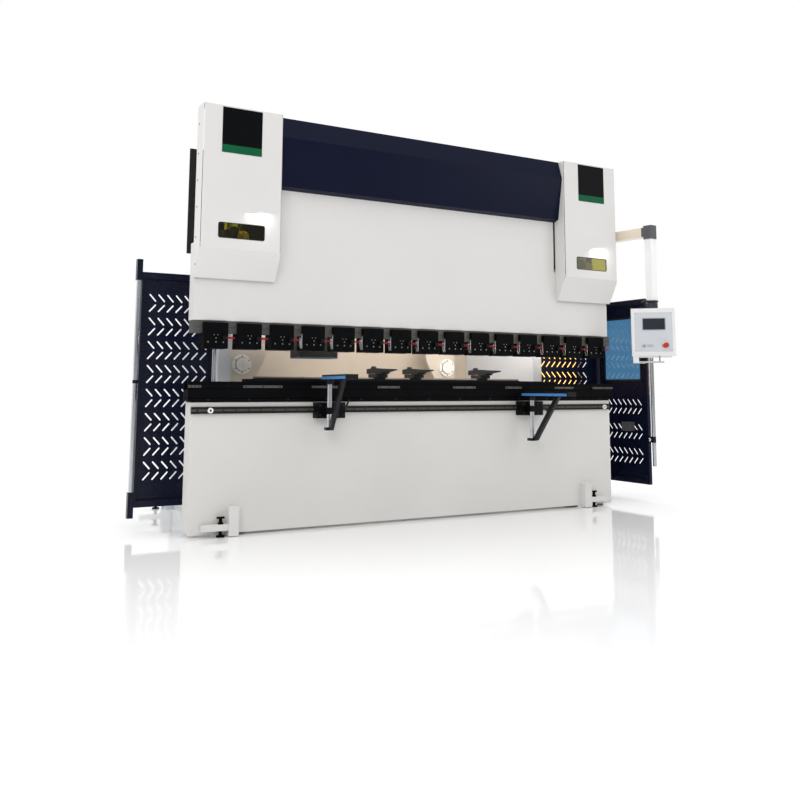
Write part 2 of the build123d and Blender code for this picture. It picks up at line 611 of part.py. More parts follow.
def make_supports():
    for name, x in SUPPORT_X.items():
        rod_x = x - 30
        with BuildPart() as carriage:
            block((x - 94, x + 94), (-70, -RAIL_DEPTH - 0.4), (664, 760))
            block((x - 94, x + 94), (-RAIL_DEPTH - 0.4, -1), (RAIL_Z[1] + 0.5, 760))
            block((x - 94, x + 94), (-RAIL_DEPTH - 0.4, -1), (664, RAIL_Z[0] - 0.5))
            block((rod_x - 30, rod_x + 30), (-128, -70), (690, 730))
            rod_z(rod_x, SUPPORT_ROD_DEPTH, SUPPORT_ROD_RADIUS + RUNNING, (689, 731), Mode.SUBTRACT)
        write(carriage, f"support_carriage_{name}")

        top = SUPPORT_BAR_TOP[name]
        low = top - 323
        with BuildPart() as arm:
            block((rod_x - 28, rod_x + 50), (-490, -28), (top - 30, top))
            rod_z(rod_x, SUPPORT_ROD_DEPTH, SUPPORT_ROD_RADIUS, (low, top - 30))
            rod_z(rod_x, SUPPORT_ROD_DEPTH, 24, (top - 58, top - 30))
            block((rod_x - 24, rod_x + 24), (-124, -76), (low - 12, low + 6))
            brace = [(-124, low - 10), (-152, low - 8), (-385, top - 30), (-345, top - 30),
                     (-124, low + 10)]
            side_profile(rod_x - 10, rod_x + 14, brace)
        # The bar stands turned about its rod
        axis = Axis(point(rod_x, SUPPORT_ROD_DEPTH, 0), (0, 0, 1))
        write_shape(arm.part.rotate(axis, SUPPORT_TURN[name]), f"support_arm_{name}")


def turned_plane(z):
    """A level plane under the control box, with its X across the box and its -Y towards the operator."""
    across = Vector(1, 0, 0).rotate(Axis.Z, BOX_ANGLE)
    return Plane(origin=point(POST_X, POST_DEPTH, z), x_dir=across, z_dir=(0, 0, 1))


def box_front_plane(extra):
    """The control box's front face, with X to the right and Y up."""
    across = Vector(1, 0, 0).rotate(Axis.Z, BOX_ANGLE)
    outward = Vector(0, -1, 0).rotate(Axis.Z, BOX_ANGLE)
    centre = Vector(*point(POST_X, POST_DEPTH, BOX_Z + BOX_SIZE[2] / 2))
    centre += outward * (BOX_SIZE[1] + extra - 28)
    return Plane(origin=centre, x_dir=across, z_dir=outward)


CONTROLS = {"emergency_stop": (84, -99), "start_button": (-34, -101), "stop_button": (-12, -101),
            "key_switch": (-68, -101)}


def make_pendant():
    with BuildPart() as boom:
        run_x, run_y = PIVOT_X - POST_X, PIVOT_DEPTH - POST_DEPTH
        length = math.hypot(run_x, run_y)
        origin = point(POST_X, POST_DEPTH, BOOM_Z[0])
        boom_plane = Plane(origin=origin, x_dir=(run_x, run_y, 0), z_dir=(0, 0, 1))
        with BuildSketch(boom_plane):
            with Locations((length / 2, 0)):
                Rectangle(length, BOOM_Z[1] - BOOM_Z[0])
            with Locations((length, 0)):
                Circle(46)
        extrude(amount=BOOM_Z[1] - BOOM_Z[0])
        with BuildSketch(boom_plane):
            with Locations((length, 0)):
                Circle(16 + RUNNING)
        extrude(amount=BOOM_Z[1] - BOOM_Z[0], mode=Mode.SUBTRACT)
        with BuildSketch(boom_plane.offset(-20)):
            RectangleRounded(78, 74, 14)
        extrude(amount=BOOM_Z[1] - BOOM_Z[0] + 32)
        with BuildSketch(boom_plane.offset(POST_BOTTOM - BOOM_Z[0])):
            RectangleRounded(64, 64, 8)
        extrude(amount=BOOM_Z[0] - POST_BOTTOM)
        rod_z(POST_X, POST_DEPTH, 36, (POST_BOTTOM - 16, POST_BOTTOM))
        rod_z(POST_X, POST_DEPTH, 14, (BOX_Z + BOX_SIZE[2] + 0.4, POST_BOTTOM - 16))
    write(boom, "pendant_boom")

    top = BOX_Z + BOX_SIZE[2]
    with BuildPart() as box:
        with BuildSketch(turned_plane(BOX_Z)):
            with Locations((0, -BOX_SIZE[1] / 2 + 28)):
                RectangleRounded(BOX_SIZE[0], BOX_SIZE[1], 8)
        extrude(amount=BOX_SIZE[2])
        with BuildSketch(turned_plane(BOX_Z + SHEET)):
            with Locations((0, -BOX_SIZE[1] / 2 + 28)):
                Rectangle(BOX_SIZE[0] - 2 * SHEET, BOX_SIZE[1] - 2 * SHEET)
        extrude(amount=BOX_SIZE[2] - 2 * SHEET, mode=Mode.SUBTRACT)
        with BuildSketch(turned_plane(top)):
            Circle(40)
            Circle(14.3, mode=Mode.SUBTRACT)
        extrude(amount=POST_BOTTOM - 20 - top)
        with BuildSketch(turned_plane(BOX_Z - 12)):
            with Locations((0, -BOX_SIZE[1] / 2 + 10)):
                Rectangle(BOX_SIZE[0] - 60, 20)
        extrude(amount=12)
        with BuildSketch(box_front_plane(0.0)):
            for spot in CONTROLS.values():
                with Locations(spot):
                    Circle(8.1)
        extrude(amount=-24, mode=Mode.SUBTRACT)
    write(box, "pendant_box")

    with BuildPart() as stop:
        with BuildSketch(box_front_plane(-20.0)):
            with Locations(CONTROLS["emergency_stop"]):
                Circle(8)
        extrude(amount=30)
        with BuildSketch(box_front_plane(10.0)):
            with Locations(CONTROLS["emergency_stop"]):
                Circle(20)
        extrude(amount=16)
        fillet(edges().filter_by(GeomType.CIRCLE).group_by(SortBy.RADIUS)[-1], 5)
    write(stop, "emergency_stop")

    for name in ("start_button", "stop_button"):
        with BuildPart() as button:
            with BuildSketch(box_front_plane(-16.0)):
                with Locations(CONTROLS[name]):
                    Circle(8)
            extrude(amount=20)
        write(button, name)

    with BuildPart() as key:
        with BuildSketch(box_front_plane(-16.0)):
            with Locations(CONTROLS["key_switch"]):
                Circle(8)
        extrude(amount=18)
        with BuildSketch(box_front_plane(2.0)):
            with Locations(CONTROLS["key_switch"]):
                Rectangle(26, 9)
        extrude(amount=12)
    write(key, "key_switch")


make_frames()
make_bed()
make_feet()
make_crossbeams()
make_oil_tank()
make_drives()
make_cylinders()
make_covers()
make_dies()
make_front_rail()
make_ram()
make_clamps()
make_guards()
make_side_door()
make_rear()
make_gauge()
make_supports()
make_pendant()
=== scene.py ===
"""Finishes and fine parts of a hydraulic press brake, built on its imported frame."""
import math

import bmesh
import bpy
from bpy.props import FloatProperty, FloatVectorProperty, IntProperty, PointerProperty
from bpy.types import Operator, Panel, PropertyGroup
from mathutils import Euler, Matrix, Vector


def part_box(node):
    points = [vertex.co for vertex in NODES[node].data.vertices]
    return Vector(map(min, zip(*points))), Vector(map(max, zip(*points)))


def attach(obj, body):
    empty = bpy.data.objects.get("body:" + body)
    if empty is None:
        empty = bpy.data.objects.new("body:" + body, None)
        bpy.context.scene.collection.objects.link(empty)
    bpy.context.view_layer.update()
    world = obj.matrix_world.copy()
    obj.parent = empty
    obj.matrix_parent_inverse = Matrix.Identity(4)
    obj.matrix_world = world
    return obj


bl_info = {
    "name": "Press Brake Builder",
    "version": (1, 0, 0),
    "blender": (4, 5, 0),
    "location": "View3D > Sidebar > Press Brake",
    "description": "Builds the finishes and the fine parts of a hydraulic press brake",
    "category": "Add Mesh",
}

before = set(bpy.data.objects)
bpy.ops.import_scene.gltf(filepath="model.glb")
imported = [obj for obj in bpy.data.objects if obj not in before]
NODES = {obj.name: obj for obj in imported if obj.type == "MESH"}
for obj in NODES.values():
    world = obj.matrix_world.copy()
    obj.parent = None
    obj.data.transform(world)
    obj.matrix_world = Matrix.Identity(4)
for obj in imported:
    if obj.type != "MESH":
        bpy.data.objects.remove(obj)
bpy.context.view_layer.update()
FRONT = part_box("bed_beam")[0].y  # the bed's front face, from which depths are given

# Places on the frame, in millimetres
POST = (1780, -295)          # X and depth of the control box's post
SWIVEL = (1640, 680)         # X and depth of the boom's swivel
CYLINDER_X = 1362
BEARING_X = 884              # bearings of the back gauge
BEARING_Z = 1016
SUPPORT_ROD_DEPTH = -100
DIE_BARS = ((-1617, -1542), (-1287, -1038), (-842, -666), (-381, -217), (199, 381), (634, 774),
            (1072, 1248), (1434, 1539), (1546, 1631))


# Colours, places and nodes

def linear(code):
    """An sRGB hex colour as the linear red, green, blue and alpha that shaders work in."""
    parts = [int(code[start:start + 2], 16) / 255 for start in (1, 3, 5)]
    return [c / 12.92 if c <= 0.04045 else ((c + 0.055) / 1.055) ** 2.4 for c in parts] + [1.0]


def at(x, depth, z):
    """A place in metres, from millimetres along the bed, behind its front face and above the floor."""
    return Vector((x / 1000, FRONT + depth / 1000, z / 1000))


def add(tree, kind, inputs=None, **settings):
    """Adds a node with its settings, and links or sets its inputs."""
    made = tree.nodes.new(kind)
    for key, value in settings.items():
        setattr(made, key, value)
    for key, value in (inputs or {}).items():
        if isinstance(value, bpy.types.NodeSocket):
            tree.links.new(value, made.inputs[key])
        else:
            made.inputs[key].default_value = value
    return made


def inside(tree, place, low, high):
    """1 inside the box between two corners, and 0 outside it."""
    axes = add(tree, "ShaderNodeSeparateXYZ", {0: place})
    found = None
    for axis in range(3):
        limits = {0: axes.outputs[axis], 1: (low[axis] + high[axis]) / 2, 2: abs(high[axis] - low[axis]) / 2}
        near = add(tree, "ShaderNodeMath", limits, operation="COMPARE").outputs[0]
        if found is not None:
            near = add(tree, "ShaderNodeMath", {0: found, 1: near}, operation="MULTIPLY").outputs[0]
        found = near
    return found


def finish(name, look, zones=(), mottle=(400.0, 0.03), grain=(3.0, 0.05), stretch=(1, 1, 1), gloss=0.06,
           shine=0.5):
    """A material from a look of colour, metalness and roughness.

    Mottle is the size in millimetres and the strength of its uneven colour. Grain is the size and the
    height in millimetres of its fine relief. Gloss is how far its roughness varies, and shine is its
    specular level. Each zone is a list of boxes with a look.
    """
    made = bpy.data.materials.new(name)
    made.use_nodes = True
    tree = made.node_tree
    shader = tree.nodes["Principled BSDF"]
    place = add(tree, "ShaderNodeTexCoord").outputs["Object"]
    drawn = add(tree, "ShaderNodeMapping", {"Vector": place, "Scale": stretch}).outputs[0]
    patches = add(tree, "ShaderNodeTexNoise", {"Vector": drawn, "Scale": 1000 / mottle[0], "Detail": 4.0,
                                               "Roughness": 0.6}).outputs[0]
    fine = add(tree, "ShaderNodeTexNoise", {"Vector": drawn, "Scale": 1000 / grain[0],
                                            "Detail": 2.0}).outputs[0]
    colour, metallic, roughness = linear(look[0]), look[1], look[2]
    for boxes, (zone_colour, zone_metallic, zone_roughness) in zones:
        mask = None
        for low, high in boxes:
            part = inside(tree, place, low, high)
            mask = part if mask is None else add(tree, "ShaderNodeMath", {0: mask, 1: part},
                                                 operation="MAXIMUM").outputs[0]
        colour = add(tree, "ShaderNodeMix", {0: mask, 6: colour, 7: linear(zone_colour)},
                     data_type="RGBA").outputs[2]
        metallic = add(tree, "ShaderNodeMix", {0: mask, 2: metallic, 3: zone_metallic}).outputs[0]
        roughness = add(tree, "ShaderNodeMix", {0: mask, 2: roughness, 3: zone_roughness}).outputs[0]
    light = add(tree, "ShaderNodeMapRange", {"Value": patches, "From Min": 0.3, "From Max": 0.7,
                                             "To Min": 1 - mottle[1], "To Max": 1 + mottle[1]}).outputs[0]
    toned = add(tree, "ShaderNodeMix", {0: 1.0, 6: colour, 7: light}, data_type="RGBA", blend_type="MULTIPLY")
    varied = add(tree, "ShaderNodeMath", {0: fine, 1: gloss, 2: roughness},
                 operation="MULTIPLY_ADD").outputs[0]
    relief = add(tree, "ShaderNodeBump", {"Height": fine, "Strength": 0.6, "Distance": grain[1] / 1000})
    shader.inputs["Specular IOR Level"].default_value = shine
    tree.links.new(toned.outputs[2], shader.inputs["Base Color"])
    if isinstance(metallic, float):
        shader.inputs["Metallic"].default_value = metallic
    else:
        tree.links.new(metallic, shader.inputs["Metallic"])
    tree.links.new(varied, shader.inputs["Roughness"])
    tree.links.new(relief.outputs[0], shader.inputs["Normal"])
    return made


def clear_sheet(name, colour, roughness, ior):
    """A tinted clear plastic sheet, with faint polishing haze."""
    made = finish(name, (colour, 0.0, roughness), mottle=(250.0, 0.05), grain=(60.0, 0.02), gloss=0.03)
    shader = made.node_tree.nodes["Principled BSDF"]
    shader.inputs["Transmission Weight"].default_value = 1.0
    shader.inputs["IOR"].default_value = ior
    return made


def plated_steel(name, colour, roughness=0.3):
    """Zinc plating on small fasteners: bright, with a fine uneven bloom."""
    return finish(name, (colour, 1.0, roughness), mottle=(8.0, 0.1), grain=(1.0, 0.02))


def around(x, depth, reach, zs):
    """The box round an upright rod, from its axis in millimetres."""
    return at(x - reach, depth - reach, zs[0]), at(x + reach, depth + reach, zs[1])


def paint(node, material):
    """Gives a node of the frame its material."""
    slots = NODES[node].data.materials
    slots.clear()
    slots.append(material)


# Shapes

def block(mesh, low, high, material=0, bevel=0.0):
    """Adds a block between two corners in millimetres, with bevelled edges."""
    corners = at(*low), at(*high)
    middle, size = (corners[0] + corners[1]) / 2, corners[1] - corners[0]
    matrix = Matrix.Translation(middle) @ Matrix.Diagonal((abs(size.x), abs(size.y), abs(size.z), 1))
    made = bmesh.ops.create_cube(mesh, size=1, matrix=matrix)["verts"]
    faces = {face for vertex in made for face in vertex.link_faces}
    if bevel:
        edges = [edge for edge in mesh.edges if edge.verts[0] in made]
        cut = bmesh.ops.bevel(mesh, geom=edges, offset=bevel / 1000, segments=2, affect="EDGES")
        faces = {face for face in faces if face.is_valid} | set(cut["faces"])
    for face in faces:
        face.material_index = material


def lathe(mesh, profile, place, axis, steps=24, material=0):
    """Turns (radius, height) pairs in millimetres round an axis through a place in metres."""
    turn = Vector((0, 0, 1)).rotation_difference(Vector(axis)).to_matrix()
    rings = []
    for radius, height in profile:
        ring = []
        for step in range(steps if radius else 1):
            angle = 2 * math.pi * step / steps
            spot = Vector((radius * math.cos(angle), radius * math.sin(angle), height)) / 1000
            ring.append(mesh.verts.new(place + turn @ spot))
        rings.append(ring)
    for lower, upper in zip(rings, rings[1:]):
        for step in range(steps):
            after = (step + 1) % steps
            corners = [lower[step % len(lower)], lower[after % len(lower)],
                       upper[after % len(upper)], upper[step % len(upper)]]
            corners = [corner for index, corner in enumerate(corners) if corner not in corners[:index]]
            if len(corners) > 2:
                mesh.faces.new(corners).material_index = material


def solid_profile(radius, height, edge=0.0):
    """The (radius, height) pairs of a closed round bar with a small edge break."""
    return [(0, 0), (radius - edge, 0), (radius, edge), (radius, height - edge),
            (radius - edge, height), (0, height)]


def plate(mesh, outline, thickness, matrix, material=0):
    """Adds a flat plate from an outline in millimetres, thickened along its own Z and placed by a matrix."""
    lower = [mesh.verts.new(matrix @ (Vector((u, v, 0)) / 1000)) for u, v in outline]
    upper = [mesh.verts.new(matrix @ (Vector((u, v, thickness)) / 1000)) for u, v in outline]
    faces = [mesh.faces.new(list(reversed(lower))), mesh.faces.new(upper)]
    for index in range(len(outline)):
        after = (index + 1) % len(outline)
        faces.append(mesh.faces.new([lower[index], lower[after], upper[after], upper[index]]))
    for face in faces:
        face.material_index = material


def rounded(width, height, radius, centre=(0, 0), steps=5):
    """The outline of a rectangle with round corners."""
    points = []
    for corner, (sign_u, sign_v) in enumerate(((1, 1), (-1, 1), (-1, -1), (1, -1))):
        for step in range(steps + 1):
            angle = math.pi / 2 * (corner + step / steps)
            points.append((centre[0] + sign_u * (width / 2 - radius) + radius * math.cos(angle),
                           centre[1] + sign_v * (height / 2 - radius) + radius * math.sin(angle)))
    return points


def frame_ring(mesh, outer, inner, thickness, matrix, material=0):
    """Adds a flat ring between two outlines that have the same number of points."""
    sides = []
    for height in (0, thickness):
        for outline in (outer, inner):
            sides.append([mesh.verts.new(matrix @ (Vector((u, v, height)) / 1000)) for u, v in outline])
    low_out, low_in, high_out, high_in = sides
    count = len(outer)
    for index in range(count):
        after = (index + 1) % count
        for corners in ((high_out[index], high_out[after], high_in[after], high_in[index]),
                        (low_in[index], low_in[after], low_out[after], low_out[index]),
                        (low_out[index], low_out[after], high_out[after], high_out[index]),
                        (high_in[index], high_in[after], low_in[after], low_in[index])):
            mesh.faces.new(corners).material_index = material


def facing_front(x, depth, z):
    """The matrix of a plate whose own X runs along the bed, Y runs up and Z faces the operator."""
    return Matrix.Translation(at(x, depth, z)) @ Matrix.Rotation(math.pi / 2, 4, "X")


def bring(name, mesh, materials, body, angle=35):
    """Makes a finished piece from a mesh and lets it ride on a body."""
    if isinstance(mesh, bmesh.types.BMesh):
        bmesh.ops.remove_doubles(mesh, verts=mesh.verts, dist=1e-6)
        bmesh.ops.recalc_face_normals(mesh, faces=mesh.faces)
        data = bpy.data.meshes.new(name)
        mesh.to_mesh(data)
        mesh.free()
    else:
        data = mesh
    data.name = name
    if data.materials:
        data.materials.clear()
    for material in materials:
        data.materials.append(material)
    data.shade_smooth()
    data.set_sharp_from_angle(angle=math.radians(angle))
    piece = bpy.data.objects.new(name, data)
    bpy.context.scene.collection.objects.link(piece)
    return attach(piece, body)


def tube(name, points, radius, material, body, corner=60):
    """A bent round tube through points in metres, with its corners rounded."""
    curve = bpy.data.curves.new(name + "_line", "CURVE")
    curve.dimensions = "3D"
    curve.bevel_depth = radius / 1000
    curve.bevel_resolution = 3
    curve.use_fill_caps = True
    line = [points[0]]
    for before, here, after in zip(points, points[1:], points[2:]):
        start = here + (before - here).normalized() * corner / 1000
        end = here + (after - here).normalized() * corner / 1000
        for step in range(7):
            share = step / 6
            line.append(start * (1 - share) ** 2 + here * 2 * share * (1 - share) + end * share ** 2)
    line.append(points[-1])
    spline = curve.splines.new("POLY")
    spline.points.add(len(line) - 1)
    for spot, place in zip(spline.points, line):
        spot.co = (*place, 1)
    holder = bpy.data.objects.new(name + "_line", curve)
    bpy.context.scene.collection.objects.link(holder)
    bpy.context.view_layer.update()
    made = bpy.data.meshes.new_from_object(holder.evaluated_get(bpy.context.evaluated_depsgraph_get()))
    bpy.data.objects.remove(holder)
    return bring(name, made, [material], body)


# Repeated parts

def socket_list(tree, sockets):
    """Gives a node tree its named inputs and its one geometry output."""
    tree.interface.new_socket("Geometry", in_out="OUTPUT", socket_type="NodeSocketGeometry")
    for name, kind, value in sockets:
        made = tree.interface.new_socket(name, in_out="INPUT", socket_type=kind)
        if value is not None:
            made.default_value = value


def screws_tree():
    """Sets a screw head on every point, turned by the point's own attribute named turn."""
    tree = bpy.data.node_groups.new("Screws On Points", "GeometryNodeTree")
    socket_list(tree, [("Geometry", "NodeSocketGeometry", None), ("Head Radius", "NodeSocketFloat", 0.006),
                       ("Head Height", "NodeSocketFloat", 0.004), ("Head Sides", "NodeSocketInt", 16),
                       ("Socket Radius", "NodeSocketFloat", 0.003), ("Has Socket", "NodeSocketBool", True),
                       ("Material", "NodeSocketMaterial", None)])
    given = add(tree, "NodeGroupInput").outputs
    head = add(tree, "GeometryNodeMeshCylinder", {
        "Vertices": given["Head Sides"], "Radius": given["Head Radius"],
        "Depth": given["Head Height"]}).outputs["Mesh"]
    hexagon = add(tree, "GeometryNodeMeshCylinder", {"Vertices": 6, "Radius": given["Socket Radius"],
                                                     "Depth": given["Head Height"]}).outputs["Mesh"]
    half = add(tree, "ShaderNodeMath", {0: given["Head Height"], 1: 0.5}, operation="MULTIPLY").outputs[0]
    upward = add(tree, "ShaderNodeCombineXYZ", {"Z": half}).outputs[0]
    raised = add(tree, "GeometryNodeTransform", {"Geometry": hexagon, "Translation": upward}).outputs[0]
    cut = add(tree, "GeometryNodeMeshBoolean", {"Mesh 1": head, "Mesh 2": raised}, operation="DIFFERENCE")
    shape = add(tree, "GeometryNodeSwitch", {"Switch": given["Has Socket"], "False": head,
                                             "True": cut.outputs["Mesh"]}, input_type="GEOMETRY").outputs[0]
    seated = add(tree, "GeometryNodeTransform", {"Geometry": shape, "Translation": upward}).outputs[0]
    turn = add(tree, "GeometryNodeInputNamedAttribute", {"Name": "turn"}, data_type="FLOAT_VECTOR").outputs[0]
    rotation = add(tree, "FunctionNodeEulerToRotation", {0: turn}).outputs[0]
    placed = add(tree, "GeometryNodeInstanceOnPoints", {"Points": given["Geometry"], "Instance": seated,
                                                        "Rotation": rotation}).outputs[0]
    real = add(tree, "GeometryNodeRealizeInstances", {0: placed}).outputs[0]
    coated = add(tree, "GeometryNodeSetMaterial", {"Geometry": real,
                                                   "Material": given["Material"]}).outputs[0]
    add(tree, "NodeGroupOutput", {0: coated})
    return tree


def rows_tree():
    """Repeats the given part in rows and columns with even steps."""
    tree = bpy.data.node_groups.new("Rows Of Parts", "GeometryNodeTree")
    socket_list(tree, [("Geometry", "NodeSocketGeometry", None), ("Count", "NodeSocketInt", 10),
                       ("Step", "NodeSocketVector", (0.01, 0, 0)), ("Rows", "NodeSocketInt", 1),
                       ("Row Step", "NodeSocketVector", (0, 0, 0.1)),
                       ("Material", "NodeSocketMaterial", None)])
    given = add(tree, "NodeGroupInput").outputs
    line = add(tree, "GeometryNodeMeshLine", {"Count": given["Count"], "Offset": given["Step"]}).outputs[0]
    rows = add(tree, "GeometryNodeMeshLine", {"Count": given["Rows"], "Offset": given["Row Step"]}).outputs[0]
    grid = add(tree, "GeometryNodeInstanceOnPoints", {"Points": rows, "Instance": line}).outputs[0]
    points = add(tree, "GeometryNodeRealizeInstances", {0: grid}).outputs[0]
    placed = add(tree, "GeometryNodeInstanceOnPoints", {"Points": points,
                                                        "Instance": given["Geometry"]}).outputs[0]
    real = add(tree, "GeometryNodeRealizeInstances", {0: placed}).outputs[0]
    coated = add(tree, "GeometryNodeSetMaterial", {"Geometry": real,
                                                   "Material": given["Material"]}).outputs[0]
    add(tree, "NodeGroupOutput", {0: coated})
    return tree


TREES = {"screws": screws_tree(), "rows": rows_tree()}


def repeated(name, kind, source, inputs):
    """Runs a tree of repeated parts on a mesh and returns the plain mesh that it makes."""
    if isinstance(source, bmesh.types.BMesh):
        bmesh.ops.recalc_face_normals(source, faces=source.faces)
        data = bpy.data.meshes.new(name + "_part")
        source.to_mesh(data)
        source.free()
        source = data
    holder = bpy.data.objects.new(name + "_source", source)
    bpy.context.scene.collection.objects.link(holder)
    modifier = holder.modifiers.new("Parts", "NODES")
    modifier.node_group = TREES[kind]
    keys = {item.name: item.identifier for item in TREES[kind].interface.items_tree
            if item.item_type == "SOCKET" and item.in_out == "INPUT"}
    for key, value in inputs.items():
        modifier[keys[key]] = value
    bpy.context.view_layer.update()
    made = bpy.data.meshes.new_from_object(holder.evaluated_get(bpy.context.evaluated_depsgraph_get()))
    bpy.data.objects.remove(holder)
    return made


FACINGS = {"front": (math.pi / 2, 0, 0), "rear": (-math.pi / 2, 0, 0), "left": (0, -math.pi / 2, 0),
           "right": (0, math.pi / 2, 0), "up": (0, 0, 0)}


def screws(name, spots, material, body, radius=6.0, height=4.0, sides=16, socket=0.5):
    """A set of screw heads at (x, depth, z, facing) spots in millimetres."""
    points = bpy.data.meshes.new(name + "_points")
    points.from_pydata([at(*spot[:3]) for spot in spots], [], [])
    turns = points.attributes.new("turn", "FLOAT_VECTOR", "POINT")
    for value, spot in zip(turns.data, spots):
        value.vector = FACINGS[spot[3]]
    made = repeated(name, "screws", points, {
        "Head Radius": radius / 1000, "Head Height": height / 1000, "Head Sides": sides,
        "Socket Radius": radius * max(socket, 0.1) / 1000, "Has Socket": socket > 0, "Material": material})
    return bring(name, made, [material], body, angle=30)


def rows(name, part, material, body, slot, count, step, row_count=1, row_step=(0, 0, 0)):
    """A part repeated with even steps in millimetres."""
    made = repeated(name, "rows", part, {
        "Count": count, "Step": Vector(step) / 1000, "Rows": row_count, "Row Step": Vector(row_step) / 1000,
        "Material": material})
    return bring(name, made, [material], body)


# Looks: colour, metalness and roughness

CREAM = ("#E0DEDC", 0.0, 0.42)
NAVY = ("#0E1329", 0.0, 0.24)
BLACK = ("#08090B", 0.0, 0.38)
DARK_STEEL = ("#5C5A57", 0.35, 0.45)
CHROME = ("#D8DBDF", 1.0, 0.1)
RED = ("#8C1526", 0.0, 0.4)
WHITE_PLASTIC = ("#EFEEEC", 0.0, 0.35)
GREY_PLASTIC = ("#56585C", 0.0, 0.45)


class BrakeSizes(PropertyGroup):
    """Sizes that may be changed before the parts are built."""

    badge_width: FloatProperty(name="Badge width", description="Width of the plate on each cylinder cover",
                               default=0.250, unit="LENGTH")
    badge_height: FloatProperty(name="Badge height", description="Height of the plate on each cylinder cover",
                                default=0.277, unit="LENGTH")
    band_height: FloatProperty(name="Band height", description="Height of the green band on the badge",
                               default=0.048, unit="LENGTH")
    clamp_count: IntProperty(name="Clamps", description="Number of punch clamps under the ram", default=15)
    clamp_pitch: FloatProperty(name="Clamp pitch", description="Distance between two punch clamps",
                               default=0.2095, unit="LENGTH")
    screw_radius: FloatProperty(name="Clamp screw radius", description="Radius of a clamp's screw heads",
                                default=0.0046, unit="LENGTH")
    floor_size: FloatProperty(name="Floor size", description="Length of each side of the floor",
                              default=160.0, unit="LENGTH")


class BrakeColours(PropertyGroup):
    """Colours that may be changed before the parts are built."""

    badge: FloatVectorProperty(name="Badge", description="Colour of the badge plates", subtype="COLOR",
                               size=4, default=linear("#090A0D"), min=0, max=1)
    band: FloatVectorProperty(name="Band", description="Colour of the band on the badges", subtype="COLOR",
                              size=4, default=linear("#155C3B"), min=0, max=1)
    floor: FloatVectorProperty(name="Floor", description="Colour of the floor", subtype="COLOR",
                               size=4, default=linear("#FFFFFF"), min=0, max=1)


# The stage

class BRAKE_OT_stage(Operator):
    """Adds the floor, the lights and the camera"""
    bl_idname = "brake.stage"
    bl_label = "Stage"

    def execute(self, context):
        scene = context.scene
        sizes, colours = scene.brake_sizes, scene.brake_colours
        floor_mesh = bmesh.new()
        bmesh.ops.create_grid(floor_mesh, x_segments=1, y_segments=1, size=sizes.floor_size / 2)
        data = bpy.data.meshes.new("floor")
        floor_mesh.to_mesh(data)
        floor_mesh.free()
        # Polished pale resin floor: it gives a faint mirror image under the machine
        resin = bpy.data.materials.new("polished_resin_floor")
        resin.use_nodes = True
        shader = resin.node_tree.nodes["Principled BSDF"]
        shader.inputs["Base Color"].default_value = colours.floor
        shader.inputs["Roughness"].default_value = 0.06
        shader.inputs["IOR"].default_value = 1.35
        data.materials.append(resin)
        floor = bpy.data.objects.new("floor", data)
        scene.collection.objects.link(floor)

        world = bpy.data.worlds.new("studio")
        world.use_nodes = True
        # White behind the machine and overhead, and darker on the operator's side, so that gloss shows
        # its shape
        sky = world.node_tree
        heading = add(sky, "ShaderNodeTexCoord").outputs["Generated"]
        axes = add(sky, "ShaderNodeSeparateXYZ", {0: heading}).outputs
        side = add(sky, "ShaderNodeMapRange", {"Value": axes["Y"], "From Min": -0.5, "From Max": 0.1,
                                               "To Min": 0.3, "To Max": 1.0}).outputs[0]
        above = add(sky, "ShaderNodeMapRange", {"Value": axes["Z"], "From Min": 0.3, "From Max": 0.85,
                                                "To Min": 0.0, "To Max": 1.5}).outputs[0]
        strength = add(sky, "ShaderNodeMath", {0: side, 1: above}, operation="MAXIMUM").outputs[0]
        background = sky.nodes["Background"]
        background.inputs["Color"].default_value = (1, 1, 1, 1)
        sky.links.new(strength, background.inputs["Strength"])
        scene.world = world
        for name, place, aim, size, power, colour in (
                ("key", (-5.5, -6.5, 4.2), (0, -0.7, 1.2), (3.5, 3.0), 130, "#FFFFFF"),
                ("fill", (5.5, -6.5, 3.4), (0.6, -0.7, 1.0), (3.0, 3.0), 60, "#FFFFFF"),
                ("rear", (3.0, 6.5, 4.5), (0, 0, 1.2), (5.0, 3.0), 120, "#FFFFFF"),
                ("work_light", (0.55, -0.46, 1.36), (0.6, 0.6, 0.95), (1.9, 0.14), 14, "#FFF6EC"),
                ("left_cover_light", (-1.34, -0.84, 1.88), (-1.32, -0.80, 1.72), (0.3, 0.05), 0.5, "#FFFFFF"),
                ("right_cover_light", (1.36, -0.84, 1.88), (1.40, -0.80, 1.72), (0.3, 0.05), 0.5, "#FFFFFF"),
                ("cabinet_light", (1.55, -0.13, 1.05), (1.55, 0.2, 1.05), (0.6, 0.5), 4, "#FFC46A")):
            lamp = bpy.data.lights.new(name, "AREA")
            lamp.shape = "RECTANGLE"
            lamp.size, lamp.size_y = size
            lamp.energy = power
            lamp.color = linear(colour)[:3]
            holder = bpy.data.objects.new(name, lamp)
            holder.location = place
            holder.rotation_euler = (Vector(aim) - Vector(place)).to_track_quat("-Z", "Y").to_euler()
            scene.collection.objects.link(holder)

        camera_data = bpy.data.cameras.new("camera")
        camera_data.lens = 40.5
        camera_data.sensor_width = 36
        camera_data.shift_y = -0.164
        camera = bpy.data.objects.new("camera", camera_data)
        yaw, pitch, roll = math.radians(29.9), math.radians(7.55), math.radians(0.2)
        aimed = Matrix.Rotation(-yaw, 4, "Z") @ Matrix.Rotation(math.pi / 2 + pitch, 4, "X")
        camera.matrix_world = (Matrix.Translation((-3.165, -5.885, 0.849)) @ aimed
                               @ Matrix.Rotation(roll, 4, "Z"))
        scene.collection.objects.link(camera)
        scene.camera = camera
        scene.view_settings.view_transform = "Standard"
        return {"FINISHED"}


# Finishes of the frame's own nodes

